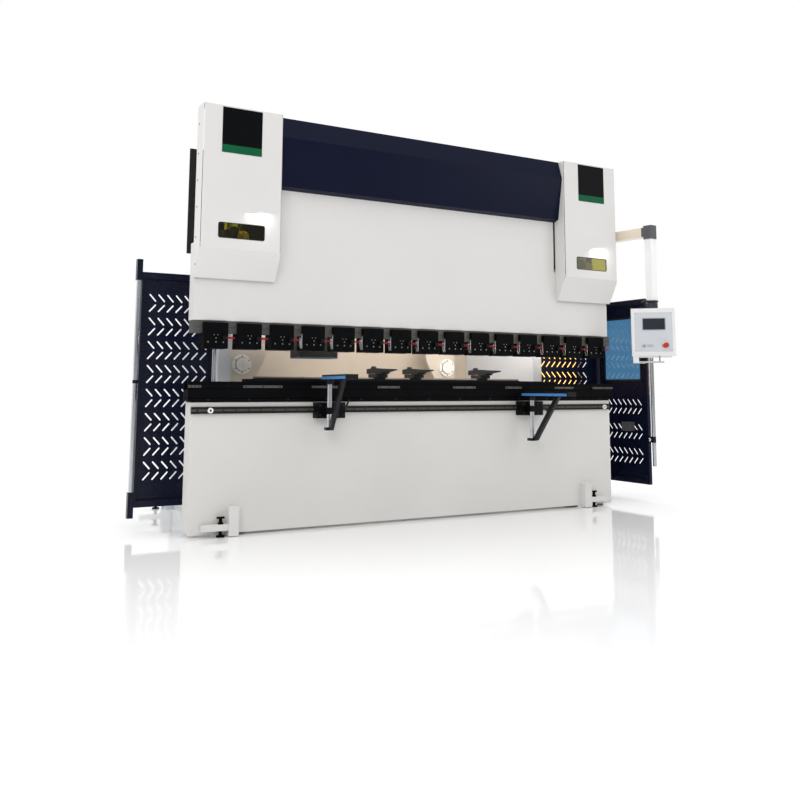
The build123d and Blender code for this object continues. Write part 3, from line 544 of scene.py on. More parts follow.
class BRAKE_OT_body_finish(Operator):
    """Paints the bed, the ram, the covers and the side frames"""
    bl_idname = "brake.body_finish"
    bl_label = "Body Finish"

    def execute(self, context):
        # Powder coat on heavy plate: soft sheen, with orange peel drawn about 8 mm wide so that it shows
        cream = finish("powder_coat_warm_white", CREAM, mottle=(700.0, 0.02), grain=(8.0, 0.05), gloss=0.08)
        for node in ("ram_beam", "left_cylinder_cover", "right_cylinder_cover", "foot_brackets"):
            paint(node, cream)
        # The bed catches workshop dust, so its coat is a little greyer and more uneven
        bed = finish("powder_coat_bed_white", ("#DEDCD9", 0.0, 0.45), mottle=(900.0, 0.035),
                     grain=(8.0, 0.05), gloss=0.08)
        paint("bed_beam", bed)
        # Sprayed enamel on flame-cut plate: cooler and flatter than the coat on the covers
        frame_paint = finish("sprayed_enamel_cool_white", ("#D5D8DC", 0.0, 0.4), mottle=(500.0, 0.03),
                             grain=(10.0, 0.08))
        for node in ("left_frame", "right_frame", "rear_crossbeams", "ram_guides"):
            paint(node, frame_paint)
        # Ivory enamel with a slight warm tone inside the machine
        ivory = finish("sprayed_enamel_ivory", ("#C6BAAA", 0.0, 0.45), mottle=(350.0, 0.03),
                       grain=(9.0, 0.06))
        paint("rear_panel", ivory)
        # Machined flanges on the painted brackets stay bare, so they are brighter and harder
        bearings = [(at(-1220, 1100, 935), at(1220, 1139.9, 1095))]
        brackets = finish("enamel_ivory_with_bare_flanges", ("#D3CABD", 0.0, 0.42),
                          [(bearings, ("#F3F1ED", 0.0, 0.35))], mottle=(300.0, 0.03), grain=(8.0, 0.06))
        paint("gauge_brackets", brackets)
        # Deep gloss navy powder coat, with soft reflections
        navy = finish("powder_coat_navy", NAVY, mottle=(300.0, 0.08), grain=(7.0, 0.03), gloss=0.1,
                      shine=0.1)
        paint("top_cover", navy)
        # Cast acrylic tinted yellow-green, which hides the dirt round the rod end
        acrylic = clear_sheet("cast_acrylic_yellow_green", "#8F8A18", 0.04, 1.49)
        paint("cover_windows", acrylic)
        return {"FINISHED"}


class BRAKE_OT_tooling_finish(Operator):
    """Finishes the clamps, the die, its holder and the front rail"""
    bl_idname = "brake.tooling_finish"
    bl_label = "Tooling Finish"

    def execute(self, context):
        # Black oxide on milled steel: nearly black, oily, with rubbed patches
        oxide = finish("black_oxide_milled_steel", BLACK, mottle=(60.0, 0.35), grain=(4.0, 0.04), gloss=0.16,
                       shine=0.06)
        for node in ("upper_clamps", "die_holder", "levelling_feet"):
            paint(node, oxide)
        # Hardened die steel, ground along the bed: dark, with long fine streaks
        ground = finish("ground_die_steel", ("#0C0D13", 0.0, 0.36), mottle=(30.0, 0.25), grain=(3.0, 0.03),
                        stretch=(0.03, 1, 1), gloss=0.15, shine=0.1)
        paint("multi_vee_die", ground)
        # Grey steel strips, ground along the bed
        strip = finish("ground_steel_strip", ("#62615F", 0.8, 0.42), mottle=(40.0, 0.12), grain=(3.0, 0.03),
                       stretch=(0.05, 1, 1), gloss=0.15)
        paint("die_clamp_bars", strip)
        # Phosphated rail over the clamps: flat grey with mill marks along the bed
        rail = finish("phosphated_steel", DARK_STEEL, mottle=(80.0, 0.15), grain=(4.0, 0.05),
                      stretch=(0.1, 1, 1), gloss=0.15)
        paint("clamp_rail", rail)
        # Dark rail with a white moulded stop at each end
        low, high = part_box("front_rail")
        stops = [(Vector((low.x, low.y - 0.001, low.z)), Vector((high.x, low.y + 0.0119, high.z)))]
        groove = [(at(-1700, -12, 710.5), at(1700, -9, 723.5))]
        front = finish("oiled_rail_steel_white_stops", ("#1A1917", 0.0, 0.5),
                       [(groove, ("#56534C", 0.2, 0.45)), (stops, WHITE_PLASTIC)],
                       mottle=(70.0, 0.12), grain=(4.0, 0.04), stretch=(0.1, 1, 1), shine=0.2)
        paint("front_rail", front)
        # Steel hub with a moulded red grip on each clamp lever
        for index in range(1, context.scene.brake_sizes.clamp_count + 1):
            node = f"clamp_lever_{index:02d}"
            low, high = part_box(node)
            hub = [(Vector((low.x - 0.001, low.y - 0.001, low.z - 0.001)),
                    Vector((low.x + 0.026, high.y + 0.001, high.z + 0.001)))]
            grip = finish(f"moulded_red_grip_{index:02d}", RED, [(hub, BLACK)], mottle=(25.0, 0.1),
                          grain=(1.5, 0.05), gloss=0.15, shine=0.2)
            paint(node, grip)
        # Hard chrome rods, and a lock nut at the foot of each, coloured dark olive as painted shade inside
        # the cover
        low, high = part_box("cylinder_rods")
        painted_shade_nuts = [(Vector((low.x, low.y, low.z)), Vector((high.x, high.y, low.z + 0.0861)))]
        rods = finish("hard_chrome_rods", CHROME, [(painted_shade_nuts, ("#4B4A33", 0.6, 0.4))], mottle=(50.0, 0.04),
                      grain=(2.0, 0.01), gloss=0.04)
        paint("cylinder_rods", rods)
        return {"FINISHED"}


class BRAKE_OT_support_finish(Operator):
    """Finishes the two sheet supports and their carriages"""
    bl_idname = "brake.support_finish"
    bl_label = "Support Finish"

    def execute(self, context):
        for side in ("left", "right"):
            low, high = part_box(f"support_arm_{side}")
            rod_x = sum(corner.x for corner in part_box(f"support_carriage_{side}")) * 500 - 30
            top = high.z * 1000
            rod = [around(rod_x, SUPPORT_ROD_DEPTH, 18, (top - 317, top - 58.1))]
            line = [(Vector((low.x - 0.001, at(0, -481, 0).y, high.z - 0.027)),
                     Vector((high.x + 0.001, high.y + 0.001, high.z - 0.010)))]
            # Black anodised bar with a pale blue line down its flanks, on a chromed rod
            arm = finish(f"anodised_support_arm_{side}", ("#0B0C10", 0.0, 0.34),
                         [(line, ("#4C8CCB", 0.0, 0.35)), (rod, CHROME)],
                         mottle=(60.0, 0.15), grain=(3.0, 0.02), gloss=0.08, shine=0.3)
            paint(f"support_arm_{side}", arm)
        # Black oxide on cast iron: grainier than on the milled clamps
        cast = finish("black_oxide_cast_iron", BLACK, mottle=(40.0, 0.3), grain=(3.0, 0.12), gloss=0.15,
                      shine=0.12)
        for node in ("support_carriage_left", "support_carriage_right"):
            paint(node, cast)
        return {"FINISHED"}


class BRAKE_OT_guard_finish(Operator):
    """Finishes the wing guards and the side door"""
    bl_idname = "brake.guard_finish"
    bl_label = "Guard Finish"

    def execute(self, context):
        # Thin sheet in gloss navy powder coat, with chromed tubes on the left wing
        tubes = [around(-1817, 424, 16, (228, 872)), around(-1817, 424, 16, (892, 1500)),
                 around(-1318, 440, 13, (150, 1545))]
        wing = finish("powder_coat_navy_left_wing", NAVY, [(tubes, CHROME)], mottle=(250.0, 0.08),
                      grain=(7.0, 0.03), gloss=0.08, shine=0.25)
        paint("left_wing_guard", wing)
        fixed = finish("powder_coat_navy_right_wing", NAVY, mottle=(250.0, 0.08), grain=(7.0, 0.03),
                       gloss=0.08, shine=0.25)
        paint("right_wing_guard", fixed)
        # Side door: the same coat, a chromed pull tube on black clips, and a grey moulded switch box
        pull = [around(2034, -20, 17, zs) for zs in ((261, 440), (486, 1100), (1146, 1281))]
        clips = [(at(2018, -23, z), at(2056, 32.8, z + 46)) for z in (440, 1100)]
        switch = [(at(1977, 189, 519), at(2040, 271, 591))]
        door = finish("powder_coat_navy_side_door", NAVY,
                      [(pull, CHROME), (clips, BLACK), (switch, GREY_PLASTIC)],
                      mottle=(250.0, 0.08), grain=(7.0, 0.03), gloss=0.08, shine=0.25)
        paint("side_door", door)
        # Blue tinted polycarbonate sheet: clear, with a bright edge
        paint("side_door_window", clear_sheet("extruded_polycarbonate_blue", "#47799F", 0.05, 1.58))
        return {"FINISHED"}


class BRAKE_OT_rear_finish(Operator):
    """Finishes the cylinders, the tank, the drives, the cabinet and the back gauge"""
    bl_idname = "brake.rear_finish"
    bl_label = "Rear Finish"

    def execute(self, context):
        # Hammered grey paint on machine castings, with dimples drawn about 6 mm wide so that they show
        hammered = finish("hammered_grey_paint", ("#5F6468", 0.3, 0.38), mottle=(80.0, 0.1),
                          grain=(6.0, 0.25))
        paint("cylinder_barrels", hammered)
        # Motor and pump in machine grey, with a blackened valve manifold
        valve = [(at(-713, 599, 1061), at(-371, 761, 1206))]
        drives = finish("machine_grey_enamel", ("#3D5366", 0.1, 0.4), [(valve, ("#121316", 0.3, 0.4))],
                        mottle=(120.0, 0.1), grain=(5.0, 0.15))
        paint("drive_motors", drives)
        # Painted tank
        tank = finish("enamel_tank_white", ("#CFCFCC", 0.0, 0.5), mottle=(200.0, 0.06), grain=(8.0, 0.06))
        paint("oil_tank", tank)
        # Textured powder coat on the cabinet sheet, with a dark swivel post
        low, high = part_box("electrical_cabinet")
        swivel = [around(*SWIVEL, 60, (1850.5, 2070))]
        legs = [(low, Vector((high.x, high.y, at(0, 0, 159.5).z)))]
        sheet = finish("textured_powder_coat", ("#CBC9C6", 0.0, 0.55),
                       [(swivel, ("#2B2D31", 0.3, 0.4)), (legs, BLACK)],
                       mottle=(300.0, 0.03), grain=(4.0, 0.15))
        paint("electrical_cabinet", sheet)
        # The door has the same coat, and a black moulded handle
        handle = [(at(1900.2, 679, 949), at(1915, 707, 1091))]
        door = finish("textured_powder_coat_door", ("#CBC9C6", 0.0, 0.55), [(handle, BLACK)],
                      mottle=(300.0, 0.03), grain=(4.0, 0.15))
        paint("cabinet_door", door)
        # Rolled ball screw: bright, with a fine thread drawn 10 mm apart
        screw = finish("rolled_screw_steel", CHROME, mottle=(12.0, 0.1), grain=(10.0, 0.3),
                       stretch=(0.3, 1, 0.3))
        paint("gauge_screw", screw)
        # Black anodised aluminium beam with faint draw lines; its guide strip is left bare, tinted beige as a
        # painted reflection of the ivory rear panel
        low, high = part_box("gauge_beam")
        strip = [(Vector((low.x, low.y, high.z - 0.0095)), high + Vector((0, 0, 0.001)))]
        beam = finish("anodised_aluminium_beam", ("#131415", 0.1, 0.4), [(strip, ("#A5988A", 0.3, 0.4))],
                      mottle=(50.0, 0.08), grain=(3.0, 0.03), stretch=(0.05, 1, 1))
        paint("gauge_beam", beam)
        # Stop fingers in milled steel, darkened
        finger = finish("darkened_milled_steel", ("#2B2B2E", 0.3, 0.42), mottle=(30.0, 0.15),
                        grain=(3.0, 0.05))
        for side in ("left", "middle", "right"):
            paint(f"gauge_finger_{side}", finger)
        return {"FINISHED"}


class BRAKE_OT_pendant_finish(Operator):
    """Finishes the control box, its boom and its buttons"""
    bl_idname = "brake.pendant_finish"
    bl_label = "Pendant Finish"

    def execute(self, context):
        # Painted aluminium boom and post, with a moulded corner and a dark swivel
        corner = [around(*POST, 47, (1961, 2066))]
        swivel = [around(*POST, 50, (1436, 1499.9))]
        arm = [(at(1500, -400, 1969), at(2000, 800, 2056))]
        boom = finish("painted_aluminium_profile", ("#FBFBFB", 0.0, 0.35),
                      [(arm, ("#F4E6D2", 0.0, 0.35)), (corner, ("#5A5B5E", 0.1, 0.42)),
                       (swivel, ("#33353A", 0.3, 0.4))],
                      mottle=(60.0, 0.03), grain=(3.0, 0.02), stretch=(1, 1, 0.1))
        paint("pendant_boom", boom)
        # White powder coat on the folded box, with a dark swivel ring
        ring = [around(*POST, 50, (1437.1, 1481))]
        box = finish("powder_coat_box_white", ("#EDEDED", 0.0, 0.4), [(ring, ("#33353A", 0.3, 0.4))],
                     mottle=(200.0, 0.02), grain=(6.0, 0.04))
        paint("pendant_box", box)
        # Moulded red mushroom head, slightly glossy
        paint("emergency_stop", finish("moulded_red_abs", ("#C4241B", 0.0, 0.28), mottle=(20.0, 0.06),
                                       grain=(2.0, 0.02)))
        # Small grey push buttons and a nickel plated key
        button = finish("moulded_grey_abs", ("#C3C4C5", 0.0, 0.4), mottle=(15.0, 0.05), grain=(1.5, 0.02))
        for node in ("start_button", "stop_button"):
            paint(node, button)
        paint("key_switch", finish("nickel_plated_key", ("#B5B5B1", 1.0, 0.25), mottle=(10.0, 0.06),
                                   grain=(1.5, 0.02)))
        return {"FINISHED"}


# Fine parts

def clamp_middles(sizes):
    """The middle of each punch clamp, in millimetres."""
    pitch = sizes.clamp_pitch * 1000
    return [pitch * (index - (sizes.clamp_count - 1) / 2) for index in range(sizes.clamp_count)]


class BRAKE_OT_cover_parts(Operator):
    """Adds the badges, window seals, ribbed caps and screws of the cylinder covers"""
    bl_idname = "brake.cover_parts"
    bl_label = "Cover Parts"

    def execute(self, context):
        sizes, colours = context.scene.brake_sizes, context.scene.brake_colours
        # Printed vinyl on thin aluminium: flat black with a green band
        vinyl = []
        for name, colour in (("black", colours.badge), ("green", colours.band)):
            made = finish("printed_vinyl_" + name, BLACK, mottle=(60.0, 0.1), grain=(5.0, 0.01), shine=0.08)
            print_tone = next(node for node in made.node_tree.nodes if node.bl_idname == "ShaderNodeMix")
            print_tone.inputs[6].default_value = colour
            vinyl.append(made)
        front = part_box("left_cylinder_cover")[0].y
        depth = (front - FRONT) * 1000
        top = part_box("left_cylinder_cover")[1].z * 1000 - 8
        width, height, band = sizes.badge_width * 1000, sizes.badge_height * 1000, sizes.band_height * 1000
        badges = bmesh.new()
        split = top - height + band
        for middle in (-1371, 1371):
            left, right = middle - width / 2, middle + width / 2
            block(badges, (left, depth - 1.5, split), (right, depth, top))
            block(badges, (left, depth - 1.5, top - height), (right, depth, split), material=1)
        bring("cover_badges", badges, vinyl, "machine")

        # Extruded black rubber round each window
        rubber = finish("extruded_rubber", ("#17181A", 0.0, 0.6), mottle=(15.0, 0.1), grain=(2.0, 0.03))
        seals = bmesh.new()
        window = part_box("cover_windows")
        middle_z = (window[0].z + window[1].z) * 500
        for middle in (-1360, 1360):
            frame_ring(seals, rounded(290, 94, 13), rounded(282, 86, 9), 4,
                       facing_front(middle, depth + 3.2, middle_z))
        bring("window_seals", seals, [rubber], "machine")

        # Yellow zinc plating on the ribbed cap of each rod end
        zinc = finish("yellow_zinc_plate", ("#F2DC5A", 0.35, 0.4), mottle=(12.0, 0.2), grain=(2.0, 0.05))
        caps = bmesh.new()
        for middle in (-1322, 1402):
            place = at(middle, -12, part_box("cylinder_rods")[0].z * 1000)
            profile = [(0, 0), (44, 0), (44, 62), (40, 74), (28, 83), (0, 87)]
            turned = bmesh.new()
            lathe(turned, profile, place, (0, 0, 1), steps=72)
            for vertex in turned.verts:
                reach = Vector((vertex.co.x - place.x, vertex.co.y - place.y, 0))
                if reach.length > 0.03:
                    spin = math.atan2(reach.y, reach.x)
                    vertex.co -= reach.normalized() * (0.0028 if math.cos(18 * spin) < 0 else 0)
            data = bpy.data.meshes.new("cap")
            turned.to_mesh(data)
            turned.free()
            caps.from_mesh(data)
        bring("rod_caps", caps, [zinc], "ram", angle=20)
        # Dark sheet inside the covers, behind the rods: painted shade that keeps the space behind the windows
        # dark
        shade_sheets = bmesh.new()
        for side in (-1, 1):
            block(shade_sheets, (side * 1606, 158, 1650), (side * 1114, 161, 2300))
        bring("cover_shade_sheets", shade_sheets, [rubber], "machine")

        # Zinc plated button heads down the outer sides of the covers
        plated = plated_steel("zinc_plated_screws", "#9A9A98")
        spots = []
        for z in (1560, 1720, 1900, 2060, 2220, 2400):
            spots += [(-1612, -40, z, "left"), (1612, -40, z, "right")]
        screws("cover_screws", spots, plated, "machine", radius=5, height=3)
        spots = [(x, 150, 2512, "up") for x in range(-1080, 1081, 240)]
        screws("top_cover_screws", spots, plated, "machine", radius=5, height=3)
        return {"FINISHED"}


class BRAKE_OT_clamp_parts(Operator):
    """Adds the screws and catch plates of the punch clamps"""
    bl_idname = "brake.clamp_parts"
    bl_label = "Clamp Parts"

    def execute(self, context):
        sizes = context.scene.brake_sizes
        middles = clamp_middles(sizes)
        face = (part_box("clamp_lever_01")[1].y - FRONT) * 1000 + 8.4
        # Bright zinc plated socket heads: they catch the light on the black clamps
        plated = plated_steel("zinc_plated_socket_heads", "#A2A2A0")
        radius = sizes.screw_radius * 1000
        lower = [(middle + shift, face + 1.5, 1113, "front") for middle in middles for shift in (-48, 0, 45)]
        screws("clamp_screws", lower, plated, "ram", radius=radius, height=3.0)
        centre = [(middle, face + 1.5, 1137, "front") for middle in middles]
        screws("clamp_centre_screws", centre, plated, "ram", radius=radius * 0.85, height=2.5)
        # Two small adjusting screws above
        small = [(middle + shift, face, 1155, "front") for middle in middles for shift in (-12, 10)]
        screws("clamp_adjusters", small, plated, "ram", radius=3.0, height=1.5)

        # Polished spring steel catch on the left flank of each clamp but the first three
        spring = finish("polished_spring_steel", ("#DADCDD", 1.0, 0.18), mottle=(20.0, 0.08),
                        grain=(2.0, 0.02))
        outline = []
        for step in range(13):
            share = step / 12
            outline.append((-4 - 7 * math.sin(math.pi * share), -44 + 90 * share))
        outline += [(u + 8, v) for u, v in reversed(outline)]
        catch = bmesh.new()
        plate(catch, outline, 26, facing_front(middles[3] - 74, face + 32, 1134))
        rows("clamp_catches", catch, spring, "ram", "ground_steel", sizes.clamp_count - 3,
             (sizes.clamp_pitch * 1000, 0, 0))
        return {"FINISHED"}


class BRAKE_OT_die_parts(Operator):
    """Adds the screws of the die clamp bars, the rail and the carriages"""
    bl_idname = "brake.die_parts"
    bl_label = "Die and Rail Parts"

    def execute(self, context):
        # Blackened socket heads: dark dots in the bright bars
        dark = finish("blackened_socket_heads", ("#131314", 0.2, 0.4), mottle=(6.0, 0.2), grain=(1.0, 0.03))
        spots = [(x, -12.2, 854.5, "front") for left, right in DIE_BARS
                 for x in (left + 16, (left + right) / 2, right - 16)]
        screws("die_bar_screws", spots, dark, "machine", radius=4.6, height=1.8)
        stops = [(x, -19, 716, "front") for x in (-1486, 1536)]
        screws("rail_stop_screws", stops, dark, "machine", radius=6.9, height=2.5)
        spots = [(78 * index, -7, 717, "front") for index in range(-18, 19)]
        screws("rail_screws", spots, dark, "machine", radius=5.2, height=2.0)
        spots = [(x, -14, 778, "front") for x in range(-1500, 1501, 250)]
        screws("holder_screws", spots, dark, "machine", radius=6.0, height=2.2)
        for side in ("left", "right"):
            low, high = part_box(f"support_carriage_{side}")
            x0, x1 = low.x * 1000, high.x * 1000
            spots = [(x, -70, z, "front") for x in (x0 + 16, x1 - 16, (x0 + x1) / 2 + 45) for z in (682, 742)]
            screws(f"carriage_screws_{side}", spots, dark, f"carriage_{side}", radius=8,
                   height=5)
        return {"FINISHED"}


class BRAKE_OT_support_parts(Operator):
    """Adds the clamp levers and end caps of the sheet supports"""
    bl_idname = "brake.support_parts"
    bl_label = "Support Parts"

    def execute(self, context):
        # Glass-filled black nylon on the small clamp levers and end caps
        nylon = finish("moulded_black_nylon", ("#111214", 0.0, 0.42), mottle=(15.0, 0.1), grain=(1.5, 0.04))
        for side, turn, tip in (("left", -8, (30, 56)), ("right", 3, (72, -52))):
            low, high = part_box(f"support_carriage_{side}")
            rod_x, edge = (low.x + high.x) * 500 - 30, high.x * 1000
            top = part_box(f"support_arm_{side}")[1].z * 1000
            cap = bmesh.new()
            block(cap, (rod_x - 27.9, -489.9, top - 29.9), (rod_x + 49.9, -484, top - 0.1), bevel=1.5)
            bmesh.ops.rotate(cap, cent=at(rod_x, SUPPORT_ROD_DEPTH, 0), verts=cap.verts,
                             matrix=Matrix.Rotation(math.radians(turn), 3, "Z"))
            bring(f"support_cap_{side}", cap, [nylon], f"arm_{side}")
            # Clamp lever on the right flank of the carriage
            lever = bmesh.new()
            lathe(lever, solid_profile(11, 16, 2), at(edge, -52, 722), (1, 0, 0))
            length = math.hypot(*tip)
            across = (-6 * tip[1] / length, 6 * tip[0] / length)
            plate(lever, [(-across[0], -across[1]), (tip[0] - across[0] / 2, tip[1] - across[1] / 2),
                          (tip[0] + across[0] / 2, tip[1] + across[1] / 2), across], 8,
                  facing_front(edge + 8, -48, 722))
            bring(f"support_lever_{side}", lever, [nylon], f"carriage_{side}")
        return {"FINISHED"}


class BRAKE_OT_guard_parts(Operator):
    """Adds the trim strip, knob and fixings of the guards"""
    bl_idname = "brake.guard_parts"
    bl_label = "Guard Parts"

    def execute(self, context):
        # Chromed trim and knob on the side door
        chrome = finish("chromed_trim", CHROME, mottle=(40.0, 0.05), grain=(3.0, 0.01), stretch=(1, 1, 0.05))
        trim = bmesh.new()
        block(trim, (2026, 4, 490), (2034, 14, 1290), bevel=1)
        knob = [(0, 0), (9, 0), (9, 10), (14, 13), (15, 20), (12, 26), (0, 28)]
        lathe(trim, knob, at(2022.5, 2, 463), (-1, 0, 0))
        bring("side_door_trim", trim, [chrome], "side_door")
        # Black rubber round the polycarbonate window
        rubber = finish("extruded_window_rubber", ("#14161C", 0.0, 0.55), mottle=(15.0, 0.1),
                        grain=(2.0, 0.03))
        pane_low, pane_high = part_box("side_door_window")
        centre = (pane_low + pane_high) / 2
        sideways = Matrix.Translation(Vector((pane_low.x - 0.001, centre.y, centre.z))) @ Euler(
            (math.pi / 2, 0, math.pi / 2)).to_matrix().to_4x4()
        seal = bmesh.new()
        frame_ring(seal, rounded(420, 510, 16), rounded(392, 482, 12), 3, sideways)
        bring("door_window_seal", seal, [rubber], "side_door")
        # Zinc plated hex bolts where the sheets meet their posts
        plated = plated_steel("zinc_plated_bolts", "#8F8F8D", 0.32)
        spots = [(x, depth, z, "rear") for x, depth in ((-1792, 443), (-1344, 454))
                 for z in (200, 500, 850, 1200, 1500)]
        screws("left_wing_bolts", spots, plated, "left_guard", radius=7, height=5,
               sides=6, socket=0)
        spots = [(1322, 605, z, "front") for z in (200, 520, 860, 1200, 1500)]
        screws("right_wing_bolts", spots, plated, "machine", radius=7, height=5,
               sides=6, socket=0)
        return {"FINISHED"}


class BRAKE_OT_pendant_parts(Operator):
    """Adds the panel, screen, rings, handle and tray of the control box"""
    bl_idname = "brake.pendant_parts"
    bl_label = "Pendant Parts"

    def execute(self, context):
        axis = at(*POST, 0)
        low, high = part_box("pendant_box")
        middle_z = (low.z + 0.012 + high.z - 0.043) / 2
        turned = Matrix.Rotation(math.radians(-45), 4, "Z")
        face = (Matrix.Translation(Vector((axis.x, axis.y, middle_z))) @ turned
                @ Matrix.Translation((0, -0.067, 0)) @ Matrix.Rotation(math.pi / 2, 4, "X"))

        def up(height):
            return face @ Matrix.Translation((0, 0, height / 1000))

        def spot(u, v, height=0):
            return face @ (Vector((u, v, height)) / 1000)

        outward = (face.to_3x3() @ Vector((0, 0, 1))).normalized()
        # Printed polyester overlay: a cool light grey field on the white box
        overlay = finish("printed_polyester_overlay", ("#D3D6DB", 0.0, 0.4), mottle=(100.0, 0.02),
                         grain=(3.0, 0.02))
        # Smoked glass of the display: dark and glossy
        glass = finish("smoked_display_glass", ("#262A35", 0.0, 0.12), mottle=(60.0, 0.08),
                       grain=(20.0, 0.002))
        bezel = finish("moulded_grey_bezel", ("#8D9096", 0.0, 0.4), mottle=(30.0, 0.04), grain=(2.0, 0.02))
        ring_metal = finish("nickel_plated_rings", ("#B9BABA", 1.0, 0.22), mottle=(10.0, 0.05),
                            grain=(1.0, 0.01))
        nylon = finish("moulded_black_handle", ("#17181B", 0.0, 0.4), mottle=(15.0, 0.1), grain=(1.5, 0.04))
        white = finish("powder_coat_tray_white", ("#EFEFEF", 0.0, 0.4), mottle=(100.0, 0.02),
                       grain=(5.0, 0.03))
        holes = [(84, -99), (-34, -101), (-12, -101), (-68, -101)]
        panel = bmesh.new()
        plate(panel, rounded(268, 288, 6, (2, 0)), 0.8, up(0.0))
        bring("pendant_overlay", panel, [overlay], "pendant")
        screen = bmesh.new()
        frame_ring(screen, rounded(164, 88, 5, (6, 58)), rounded(154, 79, 3, (6, 58)), 3, up(0.6))
        plate(screen, rounded(156, 81, 3, (6, 58)), 1.4, up(0.7), material=1)
        bring("pendant_screen", screen, [bezel, glass], "pendant")
        rings = bmesh.new()
        inner = 8.6
        for (u, v), outer in zip(holes, (26, 10.5, 10.5, 14)):
            lathe(rings, [(inner, 0.4), (outer, 0.4), (outer, 2.2), (outer - 1.5, 3.0), (inner, 3.0)],
                  spot(u, v), outward, steps=32)
        bring("pendant_rings", rings, [ring_metal], "pendant")
        corners = [spot(u, v, 0.6) for u in (-124, 128) for v in (-136, 136)]
        heads = bmesh.new()
        for place in corners:
            lathe(heads, [(0, 0), (3.4, 0), (3.4, 1.2), (2.4, 1.9), (0, 2.1)], place, outward, steps=14)
        bring("pendant_panel_screws", heads, [ring_metal], "pendant")

        # Tray bracket at the lower left and a round bar under the box
        tray = bmesh.new()
        plate(tray, [(-149, -228), (-108, -228), (-108, -174), (-149, -174)], 3, up(-6))
        plate(tray, [(-149, -228), (-60, -228), (-60, -225), (-149, -225)], 34, up(-37))
        plate(tray, [(-149, -225), (-146, -225), (-146, -174), (-149, -174)], 34, up(-37))
        bring("pendant_tray", tray, [white], "pendant")
        bar = bmesh.new()
        along = (face.to_3x3() @ Vector((1, 0, 0))).normalized()
        upward = (face.to_3x3() @ Vector((0, 1, 0))).normalized()
        lathe(bar, solid_profile(6.5, 184, 1.5), spot(-113, -219, -12), along, steps=20)
        lathe(bar, solid_profile(5, 46, 1), spot(40, -219, -12), upward, steps=16)
        bring("pendant_bar", bar, [ring_metal], "pendant")

        # Swivel brake handle under the post
        handle = bmesh.new()
        lathe(handle, [(35, 0), (43, 0), (44, 1), (44, 13), (43, 14), (35, 14)], at(*POST, 1485),
              (0, 0, 1), steps=32)
        bring("swivel_brake_ring", handle, [nylon], "boom")
        tube("swivel_brake_lever", [Vector((axis.x - 0.04, axis.y - 0.005, 1.492)),
                                    Vector((axis.x - 0.085, axis.y - 0.01, 1.497)),
                                    Vector((axis.x - 0.125, axis.y - 0.015, 1.478))],
             6, nylon, "boom", corner=15)
        return {"FINISHED"}


class BRAKE_OT_gauge_parts(Operator):
    """Adds the flange screws and finger knobs of the back gauge"""
    bl_idname = "brake.gauge_parts"
    bl_label = "Back Gauge Parts"

    def execute(self, context):
        dark = finish("blackened_flange_screws", ("#2A2A2A", 0.7, 0.4), mottle=(6.0, 0.2), grain=(1.0, 0.03))
        spots = []
        for middle in (-BEARING_X, BEARING_X):
            for turn in range(6):
                angle = math.radians(60 * turn + 30)
                spots.append((middle + 60 * math.cos(angle), 1125, BEARING_Z + 60 * math.sin(angle), "front"))
        screws("flange_screws", spots, dark, "machine", radius=4.8, height=3)
        # Rows of fixing screws on the rear panel
        spots = [(x, 1340, z, "front") for x in (-1180, -600, 0, 600, 1180) for z in (300, 720, 1180)]
        screws("rear_panel_screws", spots, dark, "machine", radius=5, height=3)
        # Dark ring on the step of each bearing: painted shade round the step of its face
        rubber = finish("bearing_step_shade", ("#3A3936", 0.0, 0.5), mottle=(8.0, 0.1), grain=(1.0, 0.03))
        seals = bmesh.new()
        for middle in (-BEARING_X, BEARING_X):
            lathe(seals, [(47, -1), (51, -1), (52, 0.6), (51, 2), (47, 2)], at(middle, 1121, BEARING_Z),
                  (0, -1, 0), steps=32)
        bring("bearing_shade_rings", seals, [rubber], "machine")
        # Moulded black star knob on each finger
        nylon = finish("moulded_star_knob", ("#1C1D20", 0.0, 0.42), mottle=(10.0, 0.1), grain=(1.0, 0.04))
        for side in ("left", "middle", "right"):
            low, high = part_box(f"gauge_finger_{side}")
            middle = (low.x + high.x) * 500
            knob = bmesh.new()
            lathe(knob, [(0, -20), (14, -20), (19, -17), (20, -10), (17, -2), (9, -0.2), (0, -0.2)],
                  Vector((middle / 1000, at(0, 650, 0).y, high.z)), (0, 0, 1))
            bring(f"finger_knob_{side}", knob, [nylon], f"finger_{side}")
        return {"FINISHED"}


